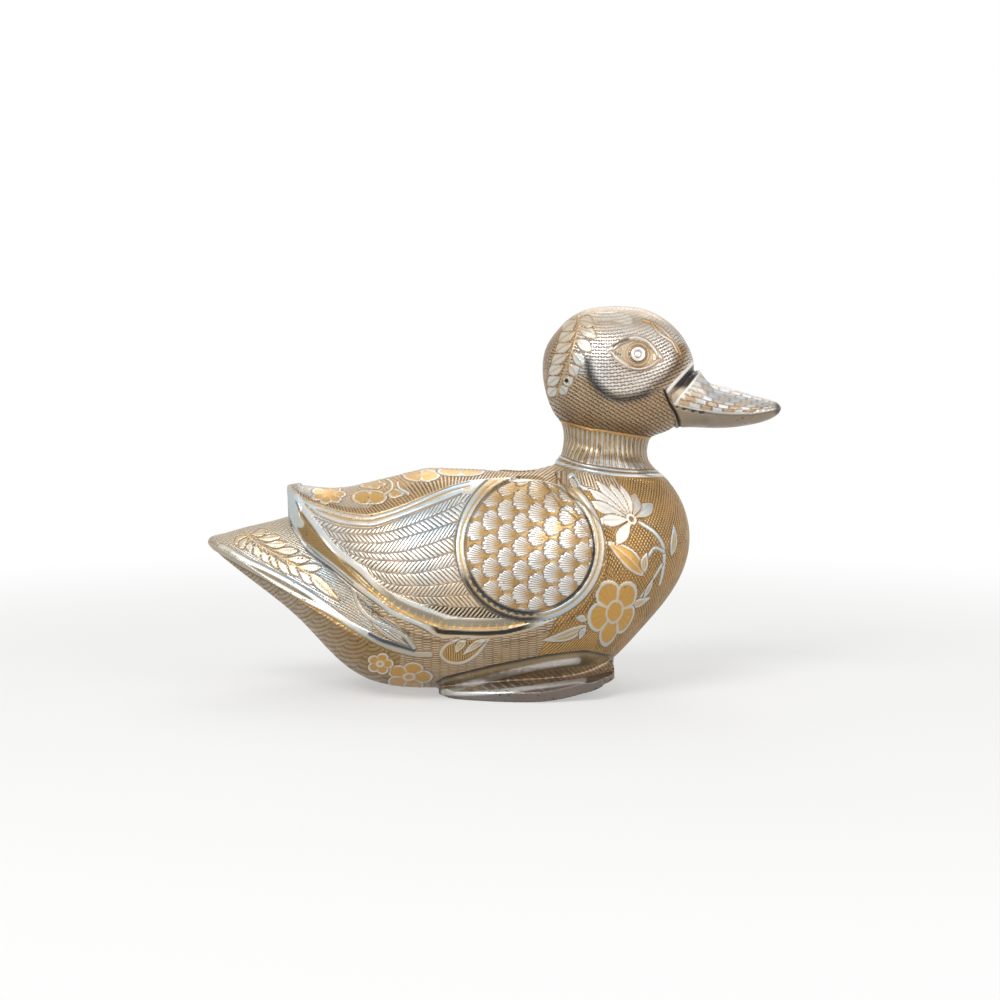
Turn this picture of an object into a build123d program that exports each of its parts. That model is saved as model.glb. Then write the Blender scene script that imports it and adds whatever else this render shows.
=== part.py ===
from build123d import *
from math import cos, pi
from typing import NamedTuple
import os

# Driving sizes of the whole figure, in millimetres.
# X runs from tail to bill, Y to the duck's left, Z up, and the feet stand on Z zero.
length = 181.0
height = 120.6
width = 74.4

# Castings and their joints
wall = 3.2
braze_gap = 0.15
fit_clearance = 0.1
overrun = 2.0
tongue_depth = 1.2
tongue_outer_share = 0.34
tongue_inner_share = 0.66

# Neck sleeve, clamped inside both castings
sleeve_wall = 1.6
sleeve_reach = 4.0
sleeve_gap = 0.25

# Bill tenon
tenon_radius = 4.5
tenon_height_share = 0.75

# Raised lines of the ornament
rim_width = 4.4
field_depth = 0.7
disc_ring_width = 2.6
collar_width = 1.8
collar_rise = 0.4
lid_rise = 0.7
lid_width = 0.9
eye_radius = 2.5
mouth_width = 0.7
mouth_depth = 1.0

# Feet
foot_height = 13.5
foot_reach = 29.5
toe_ridge = 1.1
peg_radius = 2.5

# How round the sections are, as a share of the way from an end to the corner of its box
round_share = 0.58
crease_pull_share = 0.42
least_crease_share = 0.02


class Section(NamedTuple):
    """Cross section, given by its two ends on the middle plane and its fullness, all as shares.

    X is a share of the length, Z of the height and the half width of half the width. The widest
    place is a share of the way from the low end to the top end, and the crease there runs from
    none at zero to a sharp ridge at one.
    """

    top_x_share: float
    top_z_share: float
    low_x_share: float
    low_z_share: float
    half_width_share: float
    widest_share: float
    crease_share: float = 0.0
    low_round_share: float = 0.58


# Lower casting, from the tail tip to the neck seam
body_station_shares = [
    Section(-0.4998, 0.3880, -0.4998, 0.3800, 0.02, 0.50),
    Section(-0.4945, 0.3970, -0.4945, 0.3690, 0.07, 0.50, 0.2),
    Section(-0.4805, 0.4035, -0.4805, 0.3500, 0.15, 0.45, 0.5),
    Section(-0.4420, 0.4195, -0.4420, 0.3035, 0.29, 0.37, 0.8),
    Section(-0.3865, 0.4395, -0.3865, 0.2395, 0.45, 0.30, 1.0),
    Section(-0.3315, 0.4640, -0.3315, 0.1675, 0.60, 0.29, 1.0),
    Section(-0.2760, 0.4890, -0.2760, 0.0800, 0.73, 0.31, 0.8, 0.60),
    Section(-0.2210, 0.5140, -0.2210, 0.0260, 0.84, 0.29, 0.4, 0.63),
    Section(-0.1550, 0.5350, -0.1550, 0.0060, 0.91, 0.31, 0.1, 0.66),
    Section(-0.0550, 0.5510, -0.0550, 0.0050, 0.95, 0.38, 0.0, 0.66),
    Section(0.0440, 0.5560, 0.0440, 0.0070, 0.95, 0.43, 0.0, 0.64),
    Section(0.0710, 0.5690, 0.1650, 0.0340, 0.935, 0.46, 0.0, 0.60),
    Section(0.0960, 0.5800, 0.2553, 0.1510, 0.87, 0.45),
    Section(0.1165, 0.6110, 0.3308, 0.3085, 0.71, 0.44),
    Section(0.1204, 0.6360, 0.3425, 0.4005, 0.60, 0.42),
    Section(0.1213, 0.6500, 0.3345, 0.4665, 0.495, 0.41),
    Section(0.1213, 0.6658, 0.2990, 0.5522, 0.385, 0.45),
    Section(0.1203, 0.6775, 0.2690, 0.6028, 0.347, 0.50),
    Section(0.1190, 0.6866, 0.2678, 0.6302, 0.339, 0.50),
    Section(0.1168, 0.6965, 0.2712, 0.6517, 0.347, 0.50),
]
cavity_first_row = 4
liner_first_row = 14
tongue_last_row = 16

# Raised line round the lower neck, seen from the side
collar_shares = [(0.0900, 0.6070), (0.3700, 0.5320)]

# The folded wings stand proud of the back as one pointed shield
wing_station_shares = [
    Section(-0.3650, 0.5310, -0.3650, 0.3300, 0.12, 0.50),
    Section(-0.3315, 0.5385, -0.3315, 0.2100, 0.38, 0.47),
    Section(-0.3040, 0.5335, -0.3040, 0.1500, 0.53, 0.47),
    Section(-0.2760, 0.5315, -0.2760, 0.1000, 0.66, 0.46),
    Section(-0.2210, 0.5450, -0.2210, 0.0200, 0.86, 0.42),
    Section(-0.1660, 0.5655, -0.1660, -0.0150, 0.96, 0.38),
    Section(-0.1100, 0.5830, -0.1100, -0.0200, 0.99, 0.38),
    Section(-0.0550, 0.5810, -0.0550, -0.0200, 1.00, 0.40),
    Section(0.0000, 0.5760, 0.0000, -0.0200, 1.00, 0.42),
    Section(0.0550, 0.5710, 0.0550, -0.0150, 0.99, 0.44),
    Section(0.1100, 0.5900, 0.1100, 0.0050, 0.985, 0.46),
    Section(0.1660, 0.6150, 0.1660, 0.0300, 0.955, 0.47),
    Section(0.2100, 0.6200, 0.2100, 0.0600, 0.885, 0.49),
]
# Edge of that shield seen from the side, from the rear tip under the wing and up the front
wing_rear_shares = [(-0.3600, 0.5600), (-0.3600, 0.5365), (-0.3555, 0.4480)]
wing_edge_shares = [
    (-0.3555, 0.4480),
    (-0.3315, 0.4120),
    (-0.2760, 0.3360),
    (-0.2210, 0.2650),
    (-0.1660, 0.2070),
    (-0.1100, 0.1720),
    (-0.0400, 0.1600),
    (0.0300, 0.1640),
    (0.1100, 0.2030),
    (0.1600, 0.2650),
    (0.1870, 0.3400),
    (0.1900, 0.4100),
    (0.1700, 0.4700),
    (0.1300, 0.5200),
]
wing_front_shares = [(0.1300, 0.5200), (0.0950, 0.5900), (0.0950, 0.7000)]
disc_centre_shares = (0.0605, 0.4000)
disc_radius_share = 0.1230

# Head, from the neck seam to the crown, with the back of the head as the top end
head_station_shares = [
    Section(0.1168, 0.6965, 0.2712, 0.6517, 0.347, 0.50),
    Section(0.1085, 0.7100, 0.2965, 0.6700, 0.382, 0.50),
    Section(0.1017, 0.7265, 0.3200, 0.6930, 0.435, 0.50),
    Section(0.0930, 0.7580, 0.3345, 0.7380, 0.481, 0.50),
    Section(0.0857, 0.8045, 0.3430, 0.7960, 0.503, 0.50),
    Section(0.0843, 0.8460, 0.3475, 0.8460, 0.497, 0.50),
    Section(0.0892, 0.8870, 0.3400, 0.8870, 0.465, 0.50),
    Section(0.1058, 0.9287, 0.3230, 0.9287, 0.400, 0.50),
    Section(0.1265, 0.9620, 0.2995, 0.9620, 0.312, 0.50),
    Section(0.1535, 0.9868, 0.2695, 0.9868, 0.199, 0.50),
    Section(0.1810, 0.9967, 0.2432, 0.9967, 0.105, 0.50),
]
crown_shares = (0.2110, 1.0000)
head_cavity_rows = 8
eye_centre_shares = (0.2460, 0.8780)
lid_corner_shares = [(0.1985, 0.8680), (0.2785, 0.8610)]
lid_top_shares = (0.2440, 0.9230)
lid_low_shares = (0.2400, 0.8350)

# Side view of the seat that the bill fills: forehead, corner of the mouth, chin
bill_seat_shares = [(0.3540, 0.8325), (0.3017, 0.7736), (0.3160, 0.6833)]

# Bill, from inside the seat to the tip
bill_station_shares = [
    Section(0.2960, 0.8480, 0.2960, 0.6780, 0.335, 0.50),
    Section(0.3210, 0.8470, 0.3210, 0.6810, 0.300, 0.48),
    Section(0.3430, 0.8460, 0.3430, 0.6830, 0.283, 0.45, 0.1),
    Section(0.3560, 0.8330, 0.3560, 0.6825, 0.279, 0.45, 0.15),
    Section(0.3696, 0.8068, 0.3696, 0.6815, 0.277, 0.47, 0.2),
    Section(0.3867, 0.7935, 0.3867, 0.6808, 0.274, 0.48, 0.25),
    Section(0.4199, 0.7810, 0.4199, 0.6835, 0.258, 0.46, 0.25),
    Section(0.4530, 0.7660, 0.4530, 0.6915, 0.220, 0.45, 0.25),
    Section(0.4807, 0.7550, 0.4807, 0.7045, 0.140, 0.45, 0.2),
    Section(0.4950, 0.7450, 0.4950, 0.7185, 0.065, 0.50, 0.1),
]
bill_tip_shares = (0.5000, 0.7315)
mouth_shares = [(0.3000, 0.7500), (0.3560, 0.7255), (0.4100, 0.7240), (0.4600, 0.7280), (0.4870, 0.7390)]

# Webbed foot, from heel to toes.
# Each row: X, inner edge and outer edge from the middle, top at the inner edge, rim at the outer edge.
# X is a share of length, the edges of the foot reach, the heights of the foot height.
foot_station_shares = [
    (-0.0945, 0.46, 0.68, 0.30, 0.14),
    (-0.0450, 0.36, 0.85, 0.62, 0.18),
    (0.0250, 0.29, 0.97, 0.88, 0.21),
    (0.1000, 0.24, 1.00, 0.98, 0.24),
    (0.1650, 0.19, 0.98, 1.00, 0.29),
    (0.2100, 0.17, 0.94, 0.97, 0.34),
]
foot_heel_x_share = -0.0945
foot_front_x_share = 0.2010
foot_lift_start_share = 0.0500
foot_lift_share = 0.42
foot_heel_lift_start_share = -0.0780
foot_heel_lift_share = 0.08
foot_heel_y_share = 0.54
foot_side_shares = [(-0.0100, 0.965), (0.0500, 1.000), (0.1000, 0.985), (0.1500, 0.90)]
foot_toe_shares = [(0.1500, 0.90), (0.1890, 0.71), (0.2010, 0.45), (0.1900, 0.20)]
foot_scallop_share = 0.012
ridge_first_share = 0.13
ridge_step_share = 0.50
ridge_point_count = 13
peg_shares = [(0.0100, 0.60), (0.1000, 0.56)]


def spot(shares):
    """Point of the middle plane, from its shares of the length and the height."""
    x_share, z_share = shares
    return Vector(x_share * length, 0, z_share * height)


def half_section(row, inset):
    """Half of one cross section, on the right of the middle plane, drawn in all round by the inset."""
    upper = spot((row.top_x_share, row.top_z_share))
    lower = spot((row.low_x_share, row.low_z_share))
    rise = upper - lower
    tall = rise.length
    up = rise.normalized()
    wide = row.half_width_share * width / 2 - inset
    bottom = inset
    top = tall - inset
    widest = bottom + row.widest_share * (top - bottom)
    slack = 1 - crease_pull_share * (least_crease_share + row.crease_share)
    flank = wide * slack
    turn_low = wide * row.low_round_share * slack
    turn_top = wide * round_share * slack
    section_plane = Plane(origin=lower, x_dir=(0, -1, 0), z_dir=(-up.Z, 0, up.X))
    with BuildSketch(section_plane) as section:
        with BuildLine():
            Bezier(
                (0, bottom),
                (turn_low, bottom),
                (flank, widest - round_share * (widest - bottom)),
                (wide, widest),
            )
            Bezier(
                (wide, widest),
                (flank, widest + round_share * (top - widest)),
                (turn_top, top),
                (0, top),
            )
            Line((0, top), (0, bottom))
        make_face()
    return section.sketch.face()


def half_form(rows, inset, end=None):
    """Smooth half of a form through its sections, closed to a point where an end is given."""
    sections = [half_section(row, inset) for row in rows]
    if end is not None:
        sections.append(Vertex(spot(end)))
    with BuildPart() as form:
        loft(sections=sections)
    return form.part


def side_block(points):
    """Block across the right half with a closed outline of straight sides in the side view."""
    with BuildPart() as block:
        with BuildSketch(Plane.XZ):
            with BuildLine():
                Polyline(*[(point.X, point.Z) for point in points], close=True)
            make_face()
        extrude(amount=width)
    return block.part


def side_cylinder(centre, radius):
    """Round block across the right half, about a point of the middle plane."""
    with BuildPart() as block:
        with BuildSketch(Plane.XZ.offset(wall)):
            with Locations((centre.X, centre.Z)):
                Circle(radius)
        extrude(amount=width)
    return block.part


def drawn_in(points, margin):
    """Points of the wing's outline moved into the wing, square to the outline."""
    moved = []
    for index, point in enumerate(points):
        before = points[max(index - 1, 0)]
        after = points[min(index + 1, len(points) - 1)]
        along = (after - before).normalized()
        moved.append(point + Vector(-along.Z, 0, along.X) * margin)
    return moved


def wing_block(margin):
    """Block across the right half with the wing shield's side view, drawn in by a margin."""
    chain = wing_rear_shares[:-1] + wing_edge_shares + wing_front_shares[1:]
    outline = [(point.X, point.Z) for point in drawn_in([spot(pair) for pair in chain], margin)]
    edge_start = len(wing_rear_shares) - 1
    edge_end = edge_start + len(wing_edge_shares)
    top_z = outline[-1][1]
    with BuildPart() as block:
        with BuildSketch(Plane.XZ):
            with BuildLine():
                Polyline(*outline[: edge_start + 1])
                Spline(*outline[edge_start:edge_end])
                Polyline(*outline[edge_end - 1 :])
                Polyline(outline[-1], (outline[0][0], top_z), outline[0])
            make_face()
        extrude(amount=width)
    return block.part


def disc_ring():
    """Tube across the right half that stands over the ring in the middle of the wing."""
    centre = spot(disc_centre_shares)
    radius = disc_radius_share * length
    with BuildPart() as ring:
        add(side_cylinder(centre, radius))
        add(side_cylinder(centre, radius - disc_ring_width), mode=Mode.SUBTRACT)
    return ring.part


def wing_field():
    """Space over the sunk field of the wing, inside its rim and on both sides of its ring."""
    with BuildPart() as space:
        add(wing_block(rim_width))
        add(disc_ring(), mode=Mode.SUBTRACT)
        add(half_form(wing_station_shares, field_depth), mode=Mode.SUBTRACT)
    return space.part


def wing_shield():
    """Folded wing of the right half, proud of the back, with a raised rim and a raised ring."""
    with BuildPart() as shield:
        add(half_form(wing_station_shares, 0))
        add(wing_block(0), mode=Mode.INTERSECT)
        add(wing_field(), mode=Mode.SUBTRACT)
    return shield.part


def middle_tongue(rows, clearance):
    """Tongues inside the wall's thickness that stand out of the middle plane to the left."""
    outer_inset = tongue_outer_share * wall - clearance
    inner_inset = tongue_inner_share * wall + clearance
    outer = half_form(rows, outer_inset).faces().sort_by(Axis.Y)[-1]
    inner = half_form(rows, inner_inset).faces().sort_by(Axis.Y)[-1]
    depth = tongue_depth + clearance
    with BuildPart() as tongue:
        extrude(outer, amount=depth, dir=(0, 1, 0))
        extrude(inner, amount=depth, dir=(0, 1, 0), mode=Mode.SUBTRACT)
    return tongue.part


def neck_collar():
    """Right half of the body's lower neck, swollen over the width of a raised line."""
    back, front = [spot(pair) for pair in collar_shares]
    along = (front - back).normalized()
    across = Vector(-along.Z, 0, along.X) * (collar_width / 2)
    with BuildPart() as collar:
        add(half_form(body_station_shares, -collar_rise))
        add(
            side_block([back + across, front + across, front - across, back - across]),
            mode=Mode.INTERSECT,
        )
    return collar.part


def body_hollow():
    """Right half of the space inside the body."""
    return half_form(body_station_shares[cavity_first_row:], wall)


def body_half():
    """Right half of the hollow body, with half of the neck and the holes for the feet's pegs."""
    with BuildPart() as half:
        add(half_form(body_station_shares, 0))
        add(neck_collar())
        add(wing_shield())
        add(body_hollow(), mode=Mode.SUBTRACT)
        add(foot_pegs(peg_radius + fit_clearance), mode=Mode.SUBTRACT)
    return half.part


def bill_seat_block():
    """Block across the right half in front of the V-shaped seat of the bill."""
    forehead, corner, chin = [spot(pair) for pair in bill_seat_shares]
    chin_run = (chin - corner).normalized() * height
    crown_run = (forehead - corner).normalized() * height
    front_run = Vector(length, 0, 0)
    return side_block(
        [
            corner,
            corner + chin_run,
            corner + chin_run + front_run,
            corner + crown_run + front_run,
            corner + crown_run,
        ]
    )


def tenon_cylinder(radius):
    """Round peg along X on the middle plane, through the front wall of the head into the bill."""
    corner = spot(bill_seat_shares[1])
    start_x = corner.X - wall - overrun
    peg_plane = Plane(origin=(start_x, 0, tenon_height_share * height), z_dir=(1, 0, 0))
    with BuildPart() as peg:
        with BuildSketch(peg_plane):
            Circle(radius)
        extrude(amount=wall + overrun + tenon_radius)
    return peg.part


def head_cavity():
    """Right half of the hollow of the head, kept a wall's thickness behind the bill's seat."""
    corner = spot(bill_seat_shares[1])
    with BuildPart() as hollow:
        add(half_form(head_station_shares[:head_cavity_rows], wall))
        with BuildSketch(Plane.XZ):
            with Locations((corner.X - wall, 0)):
                Rectangle(length, height + overrun, align=(Align.MAX, Align.MIN))
        extrude(amount=width, mode=Mode.INTERSECT)
    return hollow.part


def almond_block(margin):
    """Block across the right half with the almond outline of the eye, drawn in by a margin."""
    rear, front = [spot(pair) for pair in lid_corner_shares]
    top = spot(lid_top_shares)
    low = spot(lid_low_shares)
    with BuildPart() as block:
        with BuildSketch(Plane.XZ.offset(wall)):
            with BuildLine():
                ThreePointArc((rear.X, rear.Z), (top.X, top.Z), (front.X, front.Z))
                ThreePointArc((front.X, front.Z), (low.X, low.Z), (rear.X, rear.Z))
            make_face()
            if margin:
                offset(amount=-margin, mode=Mode.REPLACE)
        extrude(amount=width)
    return block.part


def eye():
    """Lids and eyeball of the right half, standing out of the head's own surface."""
    with BuildPart() as outline:
        add(almond_block(0))
        add(almond_block(lid_width), mode=Mode.SUBTRACT)
        add(side_cylinder(spot(eye_centre_shares), eye_radius))
    with BuildPart() as raised:
        add(outline.part)
        add(half_form(head_station_shares, -lid_rise, end=crown_shares), mode=Mode.INTERSECT)
    return raised.part


def head_half():
    """Right half of the hollow head, with the seat of the bill and half of the tenon's hole."""
    with BuildPart() as half:
        add(half_form(head_station_shares, 0, end=crown_shares))
        add(bill_seat_block(), mode=Mode.SUBTRACT)
        add(eye())
        add(head_cavity(), mode=Mode.SUBTRACT)
        add(tenon_cylinder(tenon_radius + fit_clearance), mode=Mode.SUBTRACT)
    return half.part


def mouth_groove():
    """Right half of the groove that marks the mouth, cut square to the bill's surface."""
    points = [spot(pair) for pair in mouth_shares]
    half_groove = mouth_width / 2
    with BuildPart() as groove:
        with BuildSketch(Plane.XZ):
            with BuildLine():
                Spline(*[(point.X, point.Z + half_groove) for point in points])
                Line(
                    (points[-1].X, points[-1].Z + half_groove),
                    (points[-1].X, points[-1].Z - half_groove),
                )
                Spline(*[(point.X, point.Z - half_groove) for point in reversed(points)])
                Line(
                    (points[0].X, points[0].Z - half_groove),
                    (points[0].X, points[0].Z + half_groove),
                )
            make_face()
        extrude(amount=width)
        add(half_form(bill_station_shares, mouth_depth), mode=Mode.SUBTRACT)
    return groove.part


def foot_section(row):
    """Cross section of the right foot, with its toes as ridges along the sloping top."""
    station_x = row[0] * length
    inner = row[1] * foot_reach
    outer = row[2] * foot_reach
    inner_top = row[3] * foot_height
    rim_top = row[4] * foot_height
    swell = toe_ridge * (outer - inner) / foot_reach
    crest_points = []
    for index in range(ridge_point_count):
        along = index / (ridge_point_count - 1)
        wave = cos(2 * pi * (along - ridge_first_share) / ridge_step_share)
        crest_points.append(
            (
                outer + (inner - outer) * along,
                rim_top + (inner_top - rim_top) * along + swell * wave,
            )
        )
    section_plane = Plane(origin=(station_x, 0, 0), x_dir=(0, -1, 0), z_dir=(-1, 0, 0))
    with BuildSketch(section_plane) as section:
        with BuildLine():
            Polyline(crest_points[-1], (inner, -overrun), (outer, -overrun), crest_points[0])
            Spline(*crest_points)
        make_face()
    return section.sketch.face()


def foot_plan():
    """Block with the outline of the right foot seen from above: heel, side and three toes."""
    heel_x = foot_heel_x_share * length
    heel_y = -foot_heel_y_share * foot_reach
    side_points = [(x * length, -y * foot_reach) for x, y in foot_side_shares]
    toe_points = [(x * length, -y * foot_reach) for x, y in foot_toe_shares]
    scallop = foot_scallop_share * length
    with BuildPart() as plan:
        with BuildSketch(Plane.XY):
            with BuildLine():
                Spline((heel_x, heel_y), *side_points)
                for first, second in zip(toe_points, toe_points[1:]):
                    middle = (Vector(*first) + Vector(*second)) / 2
                    across = (Vector(*second) - Vector(*first)).normalized()
                    bulge = middle - across.rotate(Axis.Z, 90) * scallop
                    ThreePointArc(first, bulge, second)
                Line(toe_points[-1], (toe_points[-1][0], 0))
                Polyline((toe_points[-1][0], 0), (heel_x, 0), (heel_x, heel_y))
            make_face()
        extrude(amount=height)
    return plan.part


def foot_lift():
    """Space under the right foot, where its front and its heel leave the table."""
    toe_x = foot_lift_start_share * length
    front_x = foot_front_x_share * length + overrun
    toe_lift = foot_lift_share * foot_height
    heel_x = foot_heel_lift_start_share * length
    back_x = foot_heel_x_share * length - overrun
    heel_lift = foot_heel_lift_share * foot_height
    with BuildPart() as space:
        with BuildSketch(Plane.XZ):
            for start_x, end_x, lift in ((toe_x, front_x, toe_lift), (heel_x, back_x, heel_lift)):
                with BuildLine():
                    Bezier((start_x, 0), ((start_x + end_x) / 2, 0), (end_x, lift))
                    Polyline((end_x, lift), (end_x, -lift), (start_x, -lift), (start_x, 0))
                make_face()
        extrude(amount=width)
    return space.part


def foot_pegs(radius):
    """Locating pegs of the right foot, from its sole up into the body's hollow."""
    with BuildPart() as pegs:
        with BuildSketch(Plane.XY):
            for x_share, y_share in peg_shares:
                with Locations((x_share * length, -y_share * foot_reach)):
                    Circle(radius)
        extrude(amount=height / 4)
    return pegs.part


def right_foot():
    """Right foot, cut to the belly with room for the braze, its pegs flush with the hollow."""
    with BuildPart() as foot:
        loft(sections=[foot_section(row) for row in foot_station_shares])
        add(foot_plan(), mode=Mode.INTERSECT)
        add(half_form(body_station_shares, -braze_gap), mode=Mode.SUBTRACT)
        add(foot_pegs(peg_radius))
        add(body_hollow(), mode=Mode.SUBTRACT)
        add(foot_lift(), mode=Mode.SUBTRACT)
    return foot.part


def neck_liner(inset):
    """Right half of the neck's inside on both sides of the seam, drawn in by an inset."""
    with BuildPart() as liner:
        add(half_form(body_station_shares[liner_first_row:], inset))
        add(half_form(head_station_shares[:head_cavity_rows], inset))
    return liner.part


def neck_ring():
    """Right half of the ring inside the neck that lines head and body up."""
    seam_row = head_station_shares[0]
    back = spot((seam_row.top_x_share, seam_row.top_z_share))
    front = spot((seam_row.low_x_share, seam_row.low_z_share))
    along = (front - back).normalized()
    reach = Vector(-along.Z, 0, along.X) * sleeve_reach
    inset = wall + sleeve_gap
    with BuildPart() as ring:
        add(neck_liner(inset))
        add(
            side_block([back + reach, front + reach, front - reach, back - reach]),
            mode=Mode.INTERSECT,
        )
        add(neck_liner(inset + sleeve_wall), mode=Mode.SUBTRACT)
    return ring.part


os.makedirs("parts", exist_ok=True)

# Right half of the hollow body, with the tongues that register the other half
plain_body_half = body_half()
tongue_rows = body_station_shares[cavity_first_row:tongue_last_row]
with BuildPart() as body_right:
    add(plain_body_half)
    add(middle_tongue(tongue_rows, 0))
body_right.part.label = "body_right"
export_step(body_right.part, "parts/body_right.step")

# Left half of the body, with the grooves that take the tongues
with BuildPart() as body_left:
    mirror(plain_body_half, about=Plane.XZ)
    add(middle_tongue(tongue_rows, fit_clearance), mode=Mode.SUBTRACT)
body_left.part.label = "body_left"
export_step(body_left.part, "parts/body_left.step")

# Halves of the hollow head
plain_head_half = head_half()
with BuildPart() as head_right:
    add(plain_head_half)
head_right.part.label = "head_right"
export_step(head_right.part, "parts/head_right.step")

with BuildPart() as head_left:
    mirror(plain_head_half, about=Plane.XZ)
head_left.part.label = "head_left"
export_step(head_left.part, "parts/head_left.step")

# Solid bill with its tenon
with BuildPart() as bill:
    add(half_form(bill_station_shares, 0, end=bill_tip_shares))
    add(bill_seat_block(), mode=Mode.INTERSECT)
    add(mouth_groove(), mode=Mode.SUBTRACT)
    mirror(about=Plane.XZ)
    add(tenon_cylinder(tenon_radius))
bill.part.label = "bill"
export_step(bill.part, "parts/bill.step")

# Webbed feet
plain_foot = right_foot()
with BuildPart() as foot_right:
    add(plain_foot)
foot_right.part.label = "foot_right"
export_step(foot_right.part, "parts/foot_right.step")

with BuildPart() as foot_left:
    mirror(plain_foot, about=Plane.XZ)
foot_left.part.label = "foot_left"
export_step(foot_left.part, "parts/foot_left.step")

# Ring inside the neck
with BuildPart() as neck_sleeve:
    add(neck_ring())
    mirror(about=Plane.XZ)
neck_sleeve.part.label = "neck_sleeve"
export_step(neck_sleeve.part, "parts/neck_sleeve.step")
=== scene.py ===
"""Looks of an engraved, silver-plated brass duck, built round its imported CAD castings."""
import math

import bpy
import numpy as np
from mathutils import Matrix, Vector
from mathutils.bvhtree import BVHTree


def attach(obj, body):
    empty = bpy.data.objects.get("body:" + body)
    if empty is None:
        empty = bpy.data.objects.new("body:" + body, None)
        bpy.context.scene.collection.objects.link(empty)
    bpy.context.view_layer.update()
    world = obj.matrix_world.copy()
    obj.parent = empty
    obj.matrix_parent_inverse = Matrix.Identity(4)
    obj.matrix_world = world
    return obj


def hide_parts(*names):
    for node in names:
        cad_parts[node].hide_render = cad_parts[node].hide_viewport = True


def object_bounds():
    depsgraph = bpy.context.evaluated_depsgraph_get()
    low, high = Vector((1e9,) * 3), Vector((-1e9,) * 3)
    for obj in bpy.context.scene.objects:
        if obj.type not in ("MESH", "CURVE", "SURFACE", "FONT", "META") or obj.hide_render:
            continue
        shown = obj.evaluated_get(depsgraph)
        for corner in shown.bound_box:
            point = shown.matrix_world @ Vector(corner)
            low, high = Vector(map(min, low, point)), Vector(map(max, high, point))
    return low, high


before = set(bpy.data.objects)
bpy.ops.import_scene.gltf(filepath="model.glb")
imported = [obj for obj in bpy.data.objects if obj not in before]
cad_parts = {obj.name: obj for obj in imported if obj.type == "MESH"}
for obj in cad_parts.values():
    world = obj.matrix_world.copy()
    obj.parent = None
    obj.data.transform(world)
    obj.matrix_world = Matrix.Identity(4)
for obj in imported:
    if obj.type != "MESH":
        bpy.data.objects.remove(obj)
cad_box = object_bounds()

# Sizes in metres
MM = 0.001
VOXEL = 0.36 * MM
CARVE_DEPTH = 0.42 * MM
BARB_DEPTH = 0.10 * MM
BOX_MARGIN = 0.02 * MM
SMOOTH_ROUNDS = 4

# The photograph's camera, in millimetres of the CAD frame, and its scale at the middle plane
CAMERA_DISTANCE = 650.0
CAMERA_HEIGHT = 115.0
AIM_MM = (2.0, 0.0, 59.4)
PIXEL_SIZE = 0.3158
IMAGE_PX = 1000.0
SENSOR = 36.0

PIECES = {
    "body": ("body_right", "body_left"),
    "head": ("head_right", "head_left"),
    "bill": ("bill",),
    "foot_right": ("foot_right",),
    "foot_left": ("foot_left",),
}


def new_object(name, data):
    """Object of the scene that shows some data."""
    made = bpy.data.objects.new(name, data)
    bpy.context.scene.collection.objects.link(made)
    return made


# Skin of the figure

def joined_frame():
    """One mesh object with every CAD node in it, its tree and the node of each face."""
    vertices, faces, owners = [], [], []
    for name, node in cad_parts.items():
        start = len(vertices)
        vertices += [tuple(v.co) for v in node.data.vertices]
        faces += [[start + i for i in p.vertices] for p in node.data.polygons]
        owners += [name] * len(node.data.polygons)
    mesh = bpy.data.meshes.new("joined_frame")
    mesh.from_pydata(vertices, [], faces)
    joined = new_object("joined_frame", mesh)
    return joined, BVHTree.FromPolygons(vertices, faces), owners


def quad_edges(quads):
    """Every edge of every quad, as pairs of point numbers."""
    return np.vstack([quads[:, [k, (k + 1) % 4]] for k in range(4)])


def keep_largest(points, quads):
    """The connected part of a mesh that has the most points."""
    label = np.arange(len(points))
    edges = quad_edges(quads)
    while True:
        low = np.minimum(label[edges[:, 0]], label[edges[:, 1]])
        fresh = label.copy()
        np.minimum.at(fresh, edges[:, 0], low)
        np.minimum.at(fresh, edges[:, 1], low)
        fresh = fresh[fresh]
        if np.array_equal(fresh, label):
            break
        label = fresh
    names, sizes = np.unique(label, return_counts=True)
    kept = label == names[np.argmax(sizes)]
    renumber = np.cumsum(kept) - 1
    return points[kept], renumber[quads[kept[quads[:, 0]]]]


def even_skin(joined):
    """Points and quads of the closed outer skin of the whole figure, evenly remeshed."""
    remesh = joined.modifiers.new("even", "REMESH")
    remesh.mode = "VOXEL"
    remesh.voxel_size = VOXEL
    mesh = joined.evaluated_get(bpy.context.evaluated_depsgraph_get()).to_mesh()
    points = np.zeros(len(mesh.vertices) * 3)
    mesh.vertices.foreach_get("co", points)
    quads = np.zeros(len(mesh.loops), np.int64)
    mesh.loops.foreach_get("vertex_index", quads)
    return keep_largest(points.reshape(-1, 3), quads.reshape(-1, 4))


class Net:
    """Neighbours of the points of a quad mesh."""

    def __init__(self, quads, count):
        self.edges = quad_edges(quads)
        self.count = count
        self.degree = np.bincount(self.edges.ravel(), minlength=count).astype(float)

    def mean(self, values):
        """Mean of one number per point over each point's neighbours."""
        total = np.bincount(self.edges[:, 0], values[self.edges[:, 1]], self.count)
        total += np.bincount(self.edges[:, 1], values[self.edges[:, 0]], self.count)
        return total / self.degree

    def smooth(self, points, rounds):
        """Points with the steps of the remesh taken out, without shrinking the form."""
        for _ in range(rounds):
            for share in (0.5, -0.52):
                means = np.column_stack([self.mean(points[:, axis]) for axis in range(3)])
                points = points + share * (means - points)
        return points

    def blur(self, values, rounds):
        """One number per point, spread out over its neighbours."""
        for _ in range(rounds):
            values = 0.5 * (values + self.mean(values))
        return values


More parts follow.
